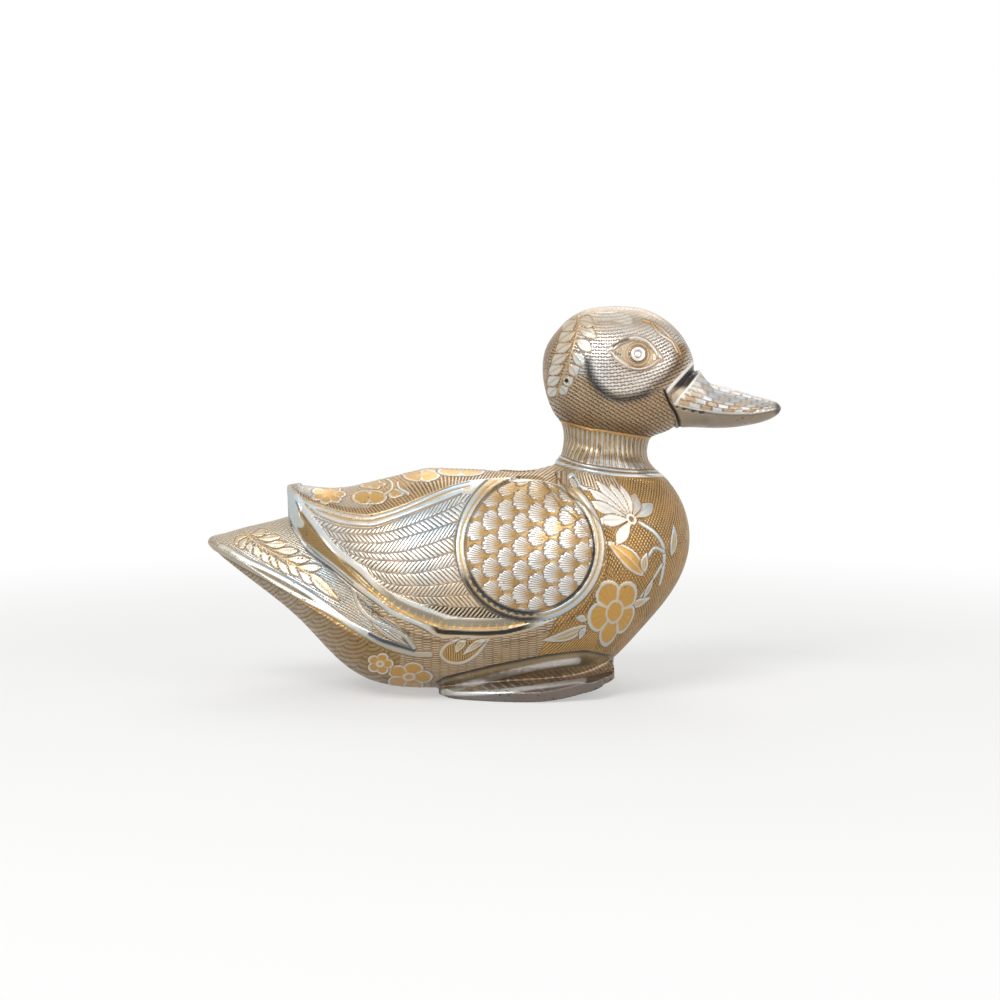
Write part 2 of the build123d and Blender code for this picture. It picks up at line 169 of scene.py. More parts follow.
def point_normals(points, quads):
    """Unit normals of the points of a quad mesh."""
    across = points[quads[:, 2]] - points[quads[:, 0]]
    along = points[quads[:, 3]] - points[quads[:, 1]]
    face_normals = np.cross(across, along)
    normals = np.zeros_like(points)
    for corner in range(4):
        for axis in range(3):
            normals[:, axis] += np.bincount(quads[:, corner], face_normals[:, axis], len(points))
    return normals / np.maximum(np.linalg.norm(normals, axis=1), 1e-20)[:, None]


# Curves and numbers on the picture plane

def ease(value):
    """Zero below zero, one above one and smooth between."""
    value = np.clip(value, 0.0, 1.0)
    return value * value * (3.0 - 2.0 * value)


def between(value, low, high, soft=1.0):
    """One where value lies between low and high, with soft ends."""
    return ease((value - low) / soft + 0.5) * ease((high - value) / soft + 0.5)


def within(value, span):
    """Whether each value lies inside a span."""
    return (value > span[0]) & (value < span[1])


def curve(points, steps=6):
    """Smooth polyline through given points."""
    points = np.array(points, float)
    padded = np.vstack([2 * points[0] - points[1], points, 2 * points[-1] - points[-2]])
    made = []
    for k in range(len(points) - 1):
        a, b, c, d = padded[k : k + 4]
        for t in np.linspace(0.0, 1.0, steps, endpoint=False):
            bend = 2 * a - 5 * b + 4 * c - d
            turn = 3 * b - a - 3 * c + d
            made.append(0.5 * (2 * b + (c - a) * t + bend * t * t + turn * t ** 3))
    made.append(points[-1])
    return np.array(made)


def height_at(line, across):
    """Height of a left-to-right line of picture points at each place across."""
    line = np.array(line, float)
    return np.interp(across, line[:, 0], line[:, 1])


def line_distance(places, line):
    """Distance of places from a polyline, positive on the side below a line drawn to the right,
    and the way along it."""
    best = np.full(len(places), 1e9)
    along = np.zeros(len(places))
    walked = 0.0
    for start, end in zip(line, line[1:]):
        step = end - start
        size = max(float(np.hypot(*step)), 1e-9)
        unit = step / size
        rel = places - start
        t = np.clip(rel @ unit, 0.0, size)
        off = rel - t[:, None] * unit
        side = np.where(unit[0] * rel[:, 1] - unit[1] * rel[:, 0] < 0.0, -1.0, 1.0)
        signed = side * np.hypot(off[:, 0], off[:, 1])
        nearer = np.abs(signed) < np.abs(best)
        best = np.where(nearer, signed, best)
        along = np.where(nearer, walked + t, along)
        walked += size
    return best, along


def inside(places, outline):
    """Whether each place lies inside a closed outline."""
    found = np.zeros(len(places), bool)
    outline = np.array(outline, float)
    for start, end in zip(outline, np.roll(outline, -1, axis=0)):
        crosses = (start[1] > places[:, 1]) != (end[1] > places[:, 1])
        run = (places[:, 1] - start[1]) / (end[1] - start[1] + 1e-12)
        found ^= crosses & (places[:, 0] < start[0] + run * (end[0] - start[0]))
    return found


# Levels that many strokes share

NO_CUTS = dict(dash=0, cross=0, brick=0)
SMOOTH = dict(NO_CUTS, ink=0, fine=0, barb=0, bright=0)
CLEAN = dict(relief=1, fine=0, soot=0, ink=0, barb=0)
PALE = dict(CLEAN, silver=1, gilt=0)
GROOVE = dict(relief=0.3, ink=0.7, fine=0)
SHALLOW = dict(relief=0.4, ink=0.6, fine=0)


class Ornament:
    """Fields of the engraving on the points of the skin, laid over each other in turn.

    Relief is one on the surface and zero in the deepest cut. Silver, gilt and bright are the
    colours, and bright is also laid as painted highlight. The near-black field is painted shade,
    painted shadow and painted dark reflection, and ink is a brown line that also takes painted
    shade in the hollows. Fine is how strongly the small cuts show. They follow the cycles u and v
    as plain lines, dashes, bricks or cross-hatching, and wide is how wide they are. Barb is how
    deep they are in the geometry. Only open places are drawn on.
    """

    NAMES = (
        "relief", "silver", "gilt", "bright", "soot", "ink", "fine", "wide", "dash", "cross",
        "brick", "u", "v",
    )

    def __init__(self, places):
        self.places = places
        self.open = np.ones(len(places), bool)
        for name in (*self.NAMES, "barb"):
            setattr(self, name, np.zeros(len(places)))
        self.relief += 1.0
        self.wide += 0.45

    def lay(self, rows, weight, style=(), **levels):
        """Move fields towards their levels at some rows, as far as the weight says."""
        for name, level in dict(style, **levels).items():
            field = getattr(self, name)
            old = field[rows]
            if name == "u":
                field[rows] = np.where(weight > 0.5, level, old)
            else:
                field[rows] = old + weight * (level - old)

    def fill(self, mask, style=(), **levels):
        """Set fields wherever a mask holds, from numbers or from one number per point."""
        for name, level in dict(style, **levels).items():
            getattr(self, name)[mask] = level[mask] if isinstance(level, np.ndarray) else level

    def near(self, points, reach):
        """Rows of the open places within reach of the box round some points."""
        points = np.array(points, float)
        held = (self.places > points.min(0) - reach) & (self.places < points.max(0) + reach)
        return np.nonzero(held.all(axis=1) & self.open)[0]

    def line(self, points, wide, style=(), soft=1.2, shift=(0, 0), **levels):
        """Draw a line of a given width through some points, or beside them."""
        points = np.add(points, shift)
        rows = self.near(points, wide)
        distance, _ = line_distance(self.places[rows], curve(points))
        self.lay(rows, ease((wide / 2 - np.abs(distance)) / soft + 0.5), style, **levels)

    def edged(self, points, wide, border, groove=GROOVE, **levels):
        """Draw a clean line in a slightly wider groove."""
        self.line(points, wide + border, groove)
        self.line(points, wide, CLEAN, **levels)

    def leaf(self, base, tip, wide, bend=0.0, edge=1.7, ribs=3.2, full=0.8, striped=False,
             rim=(), **body):
        """Draw a pointed leaf with an outline, a middle vein and slanting or lengthwise cuts."""
        base, tip = np.array(base, float), np.array(tip, float)
        rows = self.near([base, tip], wide + 4 * abs(bend))
        span = float(np.hypot(*(tip - base)))
        unit = (tip - base) / span
        rel = self.places[rows] - base
        t = np.clip(rel @ unit / span, -0.2, 1.2)
        across = unit[0] * rel[:, 1] - unit[1] * rel[:, 0] - 4 * bend * t * (1 - t)
        half = wide / 2 * np.sin(math.pi * np.clip(t, 0.0, 1.0) ** full)
        depth = np.where((t > 0.0) & (t < 1.0), half - np.abs(across), -9.0)
        self.lay(rows, ease(depth + 1.5), relief=0.35, fine=0, ink=0.75, soot=0.1)
        cuts = across / ribs + 0.5 if striped else (t * span - 1.2 * np.abs(across)) / ribs
        plain = dict(NO_CUTS, relief=0.8, silver=0.35, gilt=0.5, bright=0, soot=0.03, fine=0.55,
                     barb=0, ink=0, wide=0.35, u=cuts)
        self.lay(rows, ease(depth + 0.5), plain, **body)
        border = dict(PALE, **dict(rim))
        self.lay(rows, between(depth, 0.0, edge), border)
        self.lay(rows, between(across, -0.6, 0.6) * (depth > edge), border)

    def flower(self, centre, reach, petals, tall=1.0, turn=0.0, heart=0.3, rim=2.2, **body):
        """Draw a flower: scalloped petals with a pale outline round a small ringed heart."""
        rows = self.near([centre], reach * max(tall, 1.0) + 4)
        rel = (self.places[rows] - np.array(centre, float)) / (1.0, tall)
        radius = np.hypot(rel[:, 0], rel[:, 1])
        angle = np.arctan2(rel[:, 1], rel[:, 0]) + turn
        lobe = np.abs(np.cos(petals * angle / 2))
        depth = reach * (0.70 + 0.30 * lobe ** 0.7) - radius
        self.lay(rows, ease(depth + 1.5), relief=0.35, fine=0, ink=0.75, soot=0.15)
        petal = dict(SMOOTH, relief=0.7, silver=0, gilt=0.9, soot=0, fine=0.12,
                     u=petals * 5 * angle / (2 * math.pi))
        self.lay(rows, ease(depth + 0.5), petal, **body)
        pale = dict(relief=1, silver=0.9, gilt=0, fine=0)
        self.lay(rows, between(depth, 0.0, rim), dict(pale, silver=0.95))
        self.lay(rows, ease((0.30 - lobe) * radius / 2) * (depth > rim), pale)
        if heart > 0:
            core = heart * reach
            self.lay(rows, between(radius, core - 1.4, core + 1.4), pale, soot=0)
            self.lay(rows, ease(core - 1.4 - radius), relief=0.8, gilt=1, fine=0)


# Lines of the ornament, in pixels of the photograph

WING_OUTLINE_PX = [
    (286, 482), (297, 490), (308, 496), (329, 503), (348, 507), (367, 508), (386, 504), (405, 497),
    (424, 489), (450, 481), (475, 478), (511, 475), (541, 479), (565, 486), (577, 492), (590, 503),
    (602, 522), (607, 543), (604, 563), (595, 586), (577, 605), (556, 619), (532, 629), (505, 635),
    (475, 639), (437, 638), (416, 627), (390, 614), (353, 590), (335, 575), (307, 552), (290, 524),
]
WING_SILVER_PX = [
    (297, 497), (304, 510), (318, 528), (329, 543), (342, 555), (361, 570), (374, 583), (386, 593),
    (399, 599), (418, 607), (437, 615), (455, 621),
]
WING_RIM_PX = [
    (290, 516), (297, 533), (307, 546), (335, 568), (353, 583), (384, 606), (393, 613), (422, 625),
    (437, 634), (455, 638),
]
WING_TIP_PX = [(287, 487), (290, 500), (295, 514), (300, 524)]
SLOPE_SPAN_PX, SLOPE_TOP_PX, SLOPE_DULL_PX = (297, 460), 508, 340
BACK_EDGE_PX = [
    (280, 480), (286, 482), (298, 493), (308, 500), (329, 507), (348, 512), (367, 514), (386, 510),
    (405, 503), (424, 495), (450, 485), (469, 480), (490, 478), (511, 477), (541, 480), (565, 486),
]
BACK_SPAN_PX = (284, 575)
BACK_LEAN_PX = (340, 425, 480)
BORDER_HIGH_PX = [
    (300, 498), (308, 504), (329, 511), (348, 516), (367, 518), (386, 514), (405, 507), (424, 499),
    (450, 489), (469, 484),
]
BORDER_LOW_PX = [
    (310, 506), (317, 512), (336, 520), (355, 523), (374, 523), (393, 517), (412, 510), (437, 500),
    (462, 490),
]
FEATHER_LINES_PX = [
    [(312, 516), (336, 525), (355, 528), (374, 528), (393, 521), (412, 514), (437, 504),
     (462, 494)],
    [(322, 526), (336, 532), (361, 534), (386, 532), (412, 524), (437, 514), (462, 502)],
    [(330, 536), (342, 541), (380, 543), (412, 535), (437, 528), (462, 519)],
    [(338, 544), (348, 549), (374, 553), (399, 552), (424, 546), (462, 533)],
    [(348, 552), (363, 558), (393, 561), (424, 560), (462, 549)],
    [(360, 563), (374, 570), (399, 574), (424, 572), (465, 564)],
    [(376, 577), (390, 584), (412, 586), (437, 585), (468, 580)],
    [(390, 590), (405, 595), (431, 597), (470, 595)],
    [(408, 599), (424, 604), (450, 607), (478, 608)],
    [(424, 607), (437, 613), (460, 617), (486, 618)],
]
FEATHER_END_PX, FEATHER_DARK_PX = 515, 425
BARB_PITCH_PX = 4.4
BARB_SLANT = 0.85
TEETH_LINE_PX = [
    (368, 588), (384, 600), (393, 607), (412, 616), (437, 625), (445, 628), (493, 629), (517, 625),
    (541, 617), (565, 604), (585, 584), (596, 562),
]
TEETH_SPAN_PX, TEETH_TOP_PX = (366, 606), 540
TEETH_PITCH_PX = 8.5
TEETH_STARTS_PX = dict(grey=372, black=428, silver=520)
ZIGZAG_SPAN_PX = (394, 440)
DISC_MM = (10.95, 48.24)
DISC_RADIUS_MM = 22.26
RING_MM = 2.6
SHELL_TIP_PX = (465.7, 529.2)
SHELL_STEP_PX = (30.5, 2.7)
SHELL_ROW_PX = (15.2, 13.2)
SHELL_GRID = [(row, column) for row in range(-7, 10) for column in range(-9, 10)]
SHELL_REACH_PX = 31.0
SHELL_DULL_PX = 515
SHELL_AXIS_DEGREES = 8.0
SHELL_HALF_ANGLE = 0.48
SHELL_RIBS = 10
SHELL_SCALLOPS = 5
BREAST_CORNER_PX, BREAST_ROWS_PX, BREAST_TOP_PX = (541, 650), (472, 668), 440
FLANK_END_PX, FLANK_TOP_PX = 610, 640
SHOULDER_START_PX, SHOULDER_END_PX, SHOULDER_ROWS_PX = 555, 655, (470, 491)
NECK_START_PX, NECK_TOP_PX = 500, 405
NECK_X_MM = 35.2
NECK_RADIUS_PX = 43.0
FLUTE_PITCH_PX = 5.4
NECK_SEAM_PX = [(548, 417), (561, 422), (590, 430), (600, 431), (624, 435), (650, 439), (657, 441)]
NECK_LINES_PX = [
    [(545, 450), (560, 457), (577, 463), (592, 466), (606, 468), (624, 470), (640, 471),
     (660, 471)],
    [(540, 456), (556, 462), (571, 467), (587, 470), (600, 472), (615, 474), (634, 475),
     (662, 475)],
]
NECK_SHINE_PX = [(590, 461), (606, 463), (624, 465), (641, 466)]
NECK_DARK_PX = [(599, 447), (604, 455), (612, 456)]
SHOULDER_LINE_PX = [(576, 476), (586, 474), (592, 479), (596, 485), (604, 488), (616, 489)]
DAISY_PX = (648, 519)
DAISY_PETALS_PX = [
    (671, 503), (661, 492), (651, 484), (639, 482), (622, 479), (608, 488), (604, 501), (611, 521),
    (627, 545),
]
DAISY_SHADE_PX = 655
STEM_PX = [(655, 523), (665, 533), (671, 550), (672, 584)]
STEM_BRANCHES_PX = [[(670, 565), (664, 580), (654, 600)], [(671, 552), (664, 548), (658, 556)]]
GOLD_LEAVES_PX = [
    ((654, 576), (615, 540), 20, 2.5), ((655, 573), (657, 552), 10, -2.5),
    ((645, 606), (668, 597), 9, 1.0), ((659, 598), (664, 578), 8, 1.0),
    ((677, 556), (680, 524), 11, 1.0), ((590, 490), (575, 476), 9, 1.5),
]
GOLD_FLOWER_PX = (627, 612)
LOWER_LEAVES_PX = [
    ((593, 626), (541, 641), 11, -2.5), ((592, 621), (578, 618), 7, 1.0),
    ((592, 628), (584, 641), 7, 1.0),
]
CURL_PX = [(488, 640), (476, 655), (462, 663), (448, 662), (441, 654), (447, 645), (458, 641)]
CURL_HEART_PX = [((486, 640), (462, 656), 7, 1.5), ((466, 641), (456, 654), 8, 2.0)]
BELLY_FLOWERS_PX = [((409, 677), 24, 0.62), ((380, 664), 14, 0.8)]
BACK_FLOWERS_PX = [
    ((328, 494), 18, 0.55, 7), ((369, 497), 18, 0.50, 2), ((395, 493), 9, 0.55, 3),
    ((421, 475), 19, 0.42, 2), ((461, 471), 24, 0.26, 2), ((372, 484), 14, 0.35, 5),
]
BACK_SCROLLS_PX = [
    [(384, 477), (391, 482), (391, 489), (384, 494)], [(397, 482), (399, 488), (408, 493)],
]
TAIL_BANDS_PX = [
    [(220, 546), (226, 548), (246, 560), (267, 570), (288, 581), (308, 593), (329, 608),
     (349, 623), (370, 634), (384, 641), (414, 650)],
    [(209, 545), (216, 549), (240, 563), (267, 578), (301, 597), (329, 612), (356, 629), (384, 645),
     (413, 654), (430, 655)],
]
TAIL_END_PX, TAIL_UNDER_END_PX = 372, 400
TAIL_CELL_PX = 21.0
TAIL_STEM_PX = [(245, 531), (249, 536), (260, 545), (274, 553), (301, 569), (315, 578), (329, 590)]
TAIL_LEAVES_PX = [
    ((249, 534), (266, 530)), ((253, 538), (281, 536)), ((260, 543), (287, 543)),
    ((269, 549), (299, 550)), ((281, 557), (310, 559)), ((293, 565), (322, 567)),
    ((249, 535), (234, 544)), ((249, 536), (240, 549)), ((252, 539), (250, 552)),
    ((256, 541), (259, 557)), ((262, 547), (269, 563)), ((268, 550), (281, 569)),
    ((275, 555), (290, 574)), ((285, 560), (301, 576)), ((296, 567), (314, 584)),
]
TAIL_TIP_LEAF_PX = ((310, 573), (340, 601), 10, 1.0)
PAISLEY_PX = ((368, 616), (415, 649), 16, -1.5)
PAISLEY_NECK_PX = [
    (351, 584), (356, 599), (363, 612), (376, 622), (392, 629), (404, 636), (414, 648),
]
PAISLEY_SHADE_PX = [(404, 638), (413, 647)]
EYE_PX = (638, 354)
EYEBALL_PX = 8.2
IRIS_PX = 12.0
LID_TOP_PX = [(610, 350), (616, 346), (624, 341), (634, 338), (646, 341), (655, 350), (661, 358)]
LID_LOW_PX = [(611, 352), (621, 361), (631, 367), (640, 369), (651, 366), (659, 360)]
LID_SHADE_PX = [(614, 346), (620, 342), (628, 339)]
DARK_REFLECTION_PX = [(587, 362), (592, 380), (606, 394), (622, 399), (640, 396), (655, 388)]
BROW_DARK_REFLECTION_PX = [(655, 386), (667, 377), (678, 364), (681, 350)]
CHEEK_SHINE_PX = [(596, 362), (602, 377), (614, 386), (628, 388)]
CHEEK_START_PX = (588, 372)
CROWN_PX, NAPE_END_PX, HEAD_BACK_PX = 345, 400, 585
FLOW_CENTRE_PX = (604, 225)
FLOW_REACH_PX = 150.0
CROWN_BRICKS_PX = [(583, 322), (596, 317), (612, 316), (628, 320)]
ACANTHUS_STEM_PX = [(578, 316), (577, 329), (573, 346), (567, 365), (561, 381), (557, 397)]
ACANTHUS_LOBES_PX = [
    ((558, 386), (566, 395)), ((563, 376), (570, 387)), ((568, 364), (576, 377)),
    ((571, 352), (583, 367)), ((574, 339), (591, 352)), ((576, 328), (597, 337)),
    ((577, 320), (594, 325)), ((558, 388), (548, 397)), ((561, 377), (547, 386)),
    ((564, 366), (548, 375)), ((569, 354), (551, 364)), ((572, 343), (555, 353)),
    ((576, 331), (558, 342)), ((577, 321), (562, 331)),
]
HEAD_HOLE_PX = (566, 381)
FOREHEAD_LINES_PX = [
    [(643, 320), (657, 325), (668, 334), (676, 344), (681, 354)],
    [(652, 323), (660, 333), (672, 341), (678, 352)],
]
BILL_TOP_PX = [(672, 366), (700, 376), (718, 387), (741, 393), (763, 399), (779, 406)]
BILL_EDGE_PX = [(668, 401), (674, 404), (700, 410), (727, 413), (750, 413), (768, 410), (780, 408)]
BILL_SEAT_PX = [(693, 363), (666, 393)]
BILL_BAND_PX = [(699, 374), (675, 404)]
BILL_ROOT_PX, BILL_BRICKS_PX, BILL_DARK_PX, COLLAR_LOW_PX = 676, 704, 773, 385
JAW_GROOVE_PX = [(665, 391), (669, 401), (676, 414), (680, 428)]
FOOT_TOP_PX = [(430, 686), (439, 680), (444, 677), (492, 665), (548, 654), (585, 650), (612, 655)]
FOOT_RIDGE_HIGH_PX = [(444, 692), (474, 683), (511, 673), (548, 665), (578, 661)]
FOOT_RIDGE_LOW_PX = [(444, 693), (474, 693), (511, 690), (548, 685), (584, 680)]
FOOT_SPAN_PX = (436, 614)
WEB_HIGH_PX = [(462, 691), (474, 687), (511, 678), (548, 670), (585, 666), (612, 662)]
WEB_LOW_PX = [(462, 691), (474, 691), (511, 687), (548, 682), (585, 677), (612, 671)]
WEB_START_PX, WEB_FAN_PX = 462, (470, 600)
FOOT_HEIGHT_MM = 24.0

# Straight cuts: the pitch in pixels and the angle in degrees of one set, or of two that cross

TAIL_CUTS = ((3.1, -62), (6.5, 28))
BREAST_CUTS = ((3.4, 33), (3.4, 147))
FLANK_CUTS = ((3.2, 40),)
CHEEK_CUTS = ((3.4, 122), (6.5, 32))
NAPE_CUTS = ((3.0, 60), (6.5, -30))
DOWN_PITCH_PX = (3.3, 6.5)
BASKET_PX = (3.3, 8.8)


class Places:
    """Where the points of the skin lie, in the ways that the patterns are drawn."""

    TURN_X_MM = 22.0
    TURN_Z_MM = 45.0
    TURN_RADIUS_MM = 40.0
    ROLL_STEPS = 96
    ROLL_STEP_MM = 2.0
    ROLL_START_MM = -94.0
    ROLL_BASE_PX = 690.0

    def __init__(self, points, normals, owner):
        mm = points / MM
        self.x, self.y, self.z = mm[:, 0], np.abs(mm[:, 1]), mm[:, 2]
        self.normals = normals
        self.side = self.picture(np.column_stack([self.x, -self.y, self.z]))
        self.on = {name: np.isin(owner, nodes) for name, nodes in PIECES.items()}
        self.seen, self.unrolled = self.turn_table()
        self.round = np.column_stack([self.turned(), self.rolled()])
        around = np.arctan2(self.y, self.x - NECK_X_MM)
        self.flutes = around * NECK_RADIUS_PX / FLUTE_PITCH_PX

    @staticmethod
    def picture(mm):
        """Pixels of the photograph at which its camera sees some places."""
        eye = np.array([AIM_MM[0], -CAMERA_DISTANCE, CAMERA_HEIGHT])
        ahead = np.array(AIM_MM) - eye
        reach = np.linalg.norm(ahead)
        ahead = ahead / reach
        right = np.cross(ahead, [0.0, 0.0, 1.0])
        right /= np.linalg.norm(right)
        above = np.cross(right, ahead)
        rel = mm - eye
        scale = reach / PIXEL_SIZE / (rel @ ahead)
        half = IMAGE_PX / 2
        return np.column_stack([half + rel @ right * scale, half - rel @ above * scale])

    def turn_table(self):
        """Pixels across round the breast, as the photograph shows them and as if unrolled."""
        angle = np.linspace(math.pi / 2, 0.3, 60)
        across, out = np.cos(angle) * self.TURN_RADIUS_MM, np.sin(angle) * self.TURN_RADIUS_MM
        ring = np.column_stack([self.TURN_X_MM + across, -out, np.full(60, self.TURN_Z_MM)])
        seen = self.picture(ring)[:, 0]
        return seen, seen[0] + (math.pi / 2 - angle) * self.TURN_RADIUS_MM / PIXEL_SIZE

    def turned(self):
        """Pixels across, carried on round the breast as if it were unrolled."""
        angle = np.arctan2(self.y, np.maximum(self.x - self.TURN_X_MM, 0.0))
        past = (math.pi / 2 - angle) * self.TURN_RADIUS_MM / PIXEL_SIZE
        return np.where(self.x > self.TURN_X_MM, self.seen[0] + past, self.side[:, 0])

    def wrap(self, spots):
        """Unrolled places of spots that the photograph shows on the breast."""
        x, y = np.array(spots, float).T
        turned = np.interp(x, self.seen, self.unrolled)
        return np.column_stack([np.where(x < self.seen[0], x, turned), y])

    def rolled(self):
        """Pixels down, carried on over the back and under the belly as if it were unrolled."""
        middles = self.ROLL_START_MM + np.arange(self.ROLL_STEPS) * self.ROLL_STEP_MM
        steps = (self.x - middles[0]) / self.ROLL_STEP_MM + 0.5
        widest = np.zeros(self.ROLL_STEPS)
        np.maximum.at(widest, np.clip(steps, 0, self.ROLL_STEPS - 1).astype(int), self.y)
        spread = np.interp(self.x, middles, widest)
        over = np.where(self.normals[:, 2] > 0.0, self.y - spread, spread - self.y)
        return (over - self.z) / PIXEL_SIZE + self.ROLL_BASE_PX


def cycles(a, b, cuts):
    """Cycles u and v of one or two sets of straight cuts."""
    made = {}
    for name, (pitch, degrees) in zip("uv", cuts):
        angle = math.radians(degrees)
        made[name] = (math.cos(angle) * a + math.sin(angle) * b) / pitch
    return made


def draw_body_ground(art, at):
    """Hatching, basket work and lozenges that cover the body between its ornaments."""
    a, b = at.round.T
    px, py = at.side.T
    body = at.on["body"]
    column = a / BASKET_PX[1]
    art.fill(body, silver=0.45, fine=0.9, relief=0.6, cross=0.5, wide=0.5,
             u=b / BASKET_PX[0] + 0.5 * (np.floor(column) % 2), v=column)
    back = body & (py < height_at(BACK_EDGE_PX, px) + 1) & within(px, BACK_SPAN_PX)
    rows = np.nonzero(back)[0]
    distance, along = line_distance(at.side[rows], curve(BACK_EDGE_PX))
    lean = np.interp(px[rows], BACK_LEAN_PX, [-0.9, -0.1, 0.9])
    art.lay(rows, 1, silver=0.32, gilt=0.15, wide=0.48, fine=0.95, cross=0, soot=0.15,
            u=(along + lean * distance) / BASKET_PX[0])
    art.lay(rows, ease((-distance - 13) / 5), fine=0.35, silver=0.25, gilt=0.4)
    tail = body & (px < TAIL_END_PX) & ~inside(at.side, WING_OUTLINE_PX)
    tail &= py < height_at(TAIL_BANDS_PX[0], px)
    art.fill(tail, silver=0.88, fine=0.85, dash=1, cross=0, wide=0.4, soot=0.08,
             **cycles(a, b, TAIL_CUTS))
    start_x, start_y = BREAST_CORNER_PX
    front = body & (a > start_x + 0.5 * np.clip(start_y - py, -20, 40))
    art.fill(front & within(py, BREAST_ROWS_PX), silver=0.12, gilt=0.35, fine=1, cross=1,
             wide=0.42, **cycles(a, b, BREAST_CUTS))
    flank = front & (a < FLANK_END_PX) & (py > FLANK_TOP_PX - 0.2 * (a - start_x))
    art.fill(flank, silver=0.1, gilt=0.4, fine=1, cross=0, wide=0.45, **cycles(a, b, FLANK_CUTS))
    shoulder = body & (px > SHOULDER_START_PX) & (a < SHOULDER_END_PX)
    art.fill(shoulder & within(py, SHOULDER_ROWS_PX), silver=0.5, gilt=0.2, fine=1, cross=0,
             wide=0.4, u=a / 4.6)
    neck = body & (px > NECK_START_PX) & (py < height_at(NECK_LINES_PX[0], px))
    art.fill(neck, silver=0.55, fine=1, cross=0, wide=0.5, soot=0.14, relief=0.75, u=at.flutes)


def draw_wing(art, at):
    """Folded wing: its sloping borders and its rows of feathers."""
    px, py = at.side.T
    shield = at.on["body"] & inside(at.side, WING_OUTLINE_PX) & (py > height_at(BACK_EDGE_PX, px))
    art.open = shield
    art.fill(shield, NO_CUTS, ink=0, relief=0.9, silver=0.8, gilt=0, fine=0, soot=0)
    silver_y = height_at(WING_SILVER_PX, px)
    slope = shield & (py > silver_y) & (py < height_at(WING_RIM_PX, px)) & (py > SLOPE_TOP_PX)
    rows = np.nonzero(slope & within(px, SLOPE_SPAN_PX))[0]
    distance, along = line_distance(at.side[rows], curve(WING_SILVER_PX))
    late = ease((px[rows] - SLOPE_DULL_PX) / 40)
    # Painted shade on the sloping edge face of the wing
    art.lay(rows, 1, relief=0.6, silver=0.05 + 0.5 * late, fine=0.45 * (1 - late), wide=0.4,
            soot=0.38, gilt=0.1 * (1 - late), u=(along + 0.8 * distance) / 2)
    far = np.hypot(at.x - DISC_MM[0], at.z - DISC_MM[1])
    field = shield & (py < silver_y + 1) & (px < FEATHER_END_PX) & (far > DISC_RADIUS_MM)
    bounds = [height_at(line, px) for line in FEATHER_LINES_PX]
    for number, (top, low) in enumerate(zip(bounds, bounds[1:])):
        rows = np.nonzero(field & (py >= top) & (py < low))[0]
        down = py[rows] - top[rows]
        share = down / np.maximum(low[rows] - top[rows], 1.0)
        lean = BARB_SLANT if number % 2 == 0 else -BARB_SLANT
        last = max(0.0, (number - 5) / 3)
        art.lay(rows, 1, relief=0.72 + 0.26 * np.sin(math.pi * share) ** 0.6,
                silver=0.95 - 0.35 * last, fine=1, wide=0.32 + 0.16 * last, soot=0, barb=1,
                u=(px[rows] + lean * down) / BARB_PITCH_PX)
    stripe = ease((np.abs(art.u[rows] % 1.0 - 0.5) * 2 - 0.35) / 0.3)
    art.lay(rows, stripe * ease((px[rows] - FEATHER_DARK_PX) / 15), soot=0.95, relief=0.5)
    for line in FEATHER_LINES_PX:
        rows = art.near(line, 3)
        rows = rows[field[rows]]
        distance, _ = line_distance(at.side[rows], curve(line))
        art.lay(rows, ease((0.5 - np.abs(distance)) / 0.9 + 0.5), relief=0.5, ink=0.9, fine=0,
                barb=0)
    high = BORDER_HIGH_PX
    art.line(BACK_EDGE_PX[1:11], 3, CLEAN, silver=0.5, gilt=0.4)
    art.line(high, 3.4, PALE)
    art.line(high, 3, CLEAN, shift=(0, 3.2), gilt=0.4, silver=0.4, relief=0.8)
    art.line(high, 0.9, shift=(0, 1.8), ink=0.6, relief=0.6)
    art.line(BORDER_LOW_PX, 3.8, PALE)
    art.line(BORDER_LOW_PX, 1.2, shift=(0, 2.6), ink=0.7, relief=0.4)
    art.line(high, 1, shift=(0, -2.4), ink=0.6, relief=0.5, fine=0)
    art.line(WING_SILVER_PX, 6.4, PALE, silver=0.95, bright=0.3)
    # Painted shadow under the silver band
    art.line(WING_SILVER_PX, 1.6, shift=(-2, 4.2), soot=0.6, relief=0.3, fine=0)
    art.line(WING_TIP_PX, 8, CLEAN, silver=0.9)
    art.line(WING_RIM_PX[:9], 4.6, CLEAN, silver=1)
    art.line(WING_RIM_PX[2:5], 2, soot=0.6)
    art.line(WING_RIM_PX, 1.6, shift=(-1, 3.4), ink=0.7, soot=0.2, relief=0.2, fine=0)


def nearest_shell(spots, unit):
    """Share of the way to the rim and turn from the axis in the uppermost shell over each spot."""
    best, reach, lean = (np.zeros(len(spots)) for _ in range(3))
    first = np.array(SHELL_TIP_PX) + SHELL_REACH_PX * unit
    for row, column in SHELL_GRID:
        apex = first + column * np.array(SHELL_STEP_PX) + row * np.array(SHELL_ROW_PX)
        rel = apex - spots
        ahead = rel @ unit
        across = unit[0] * rel[:, 1] - unit[1] * rel[:, 0]
        turn = np.arctan2(across, ahead)
        lobe = np.abs(np.cos(math.pi * SHELL_SCALLOPS * turn / (2 * SHELL_HALF_ANGLE)))
        corner = np.abs(turn / SHELL_HALF_ANGLE) ** 2.5
        rim = SHELL_REACH_PX * (0.92 + 0.08 * lobe ** 0.6) * (1.0 - 0.22 * corner)
        share = np.hypot(ahead, across) / rim
        order = 900.0 + float(apex @ unit)
        fits = (np.abs(turn) < SHELL_HALF_ANGLE) & (share < 1.0) & (order > best)
        best = np.where(fits, order, best)
        reach = np.where(fits, share, reach)
        lean = np.where(fits, turn, lean)
    return best > 0, reach, lean


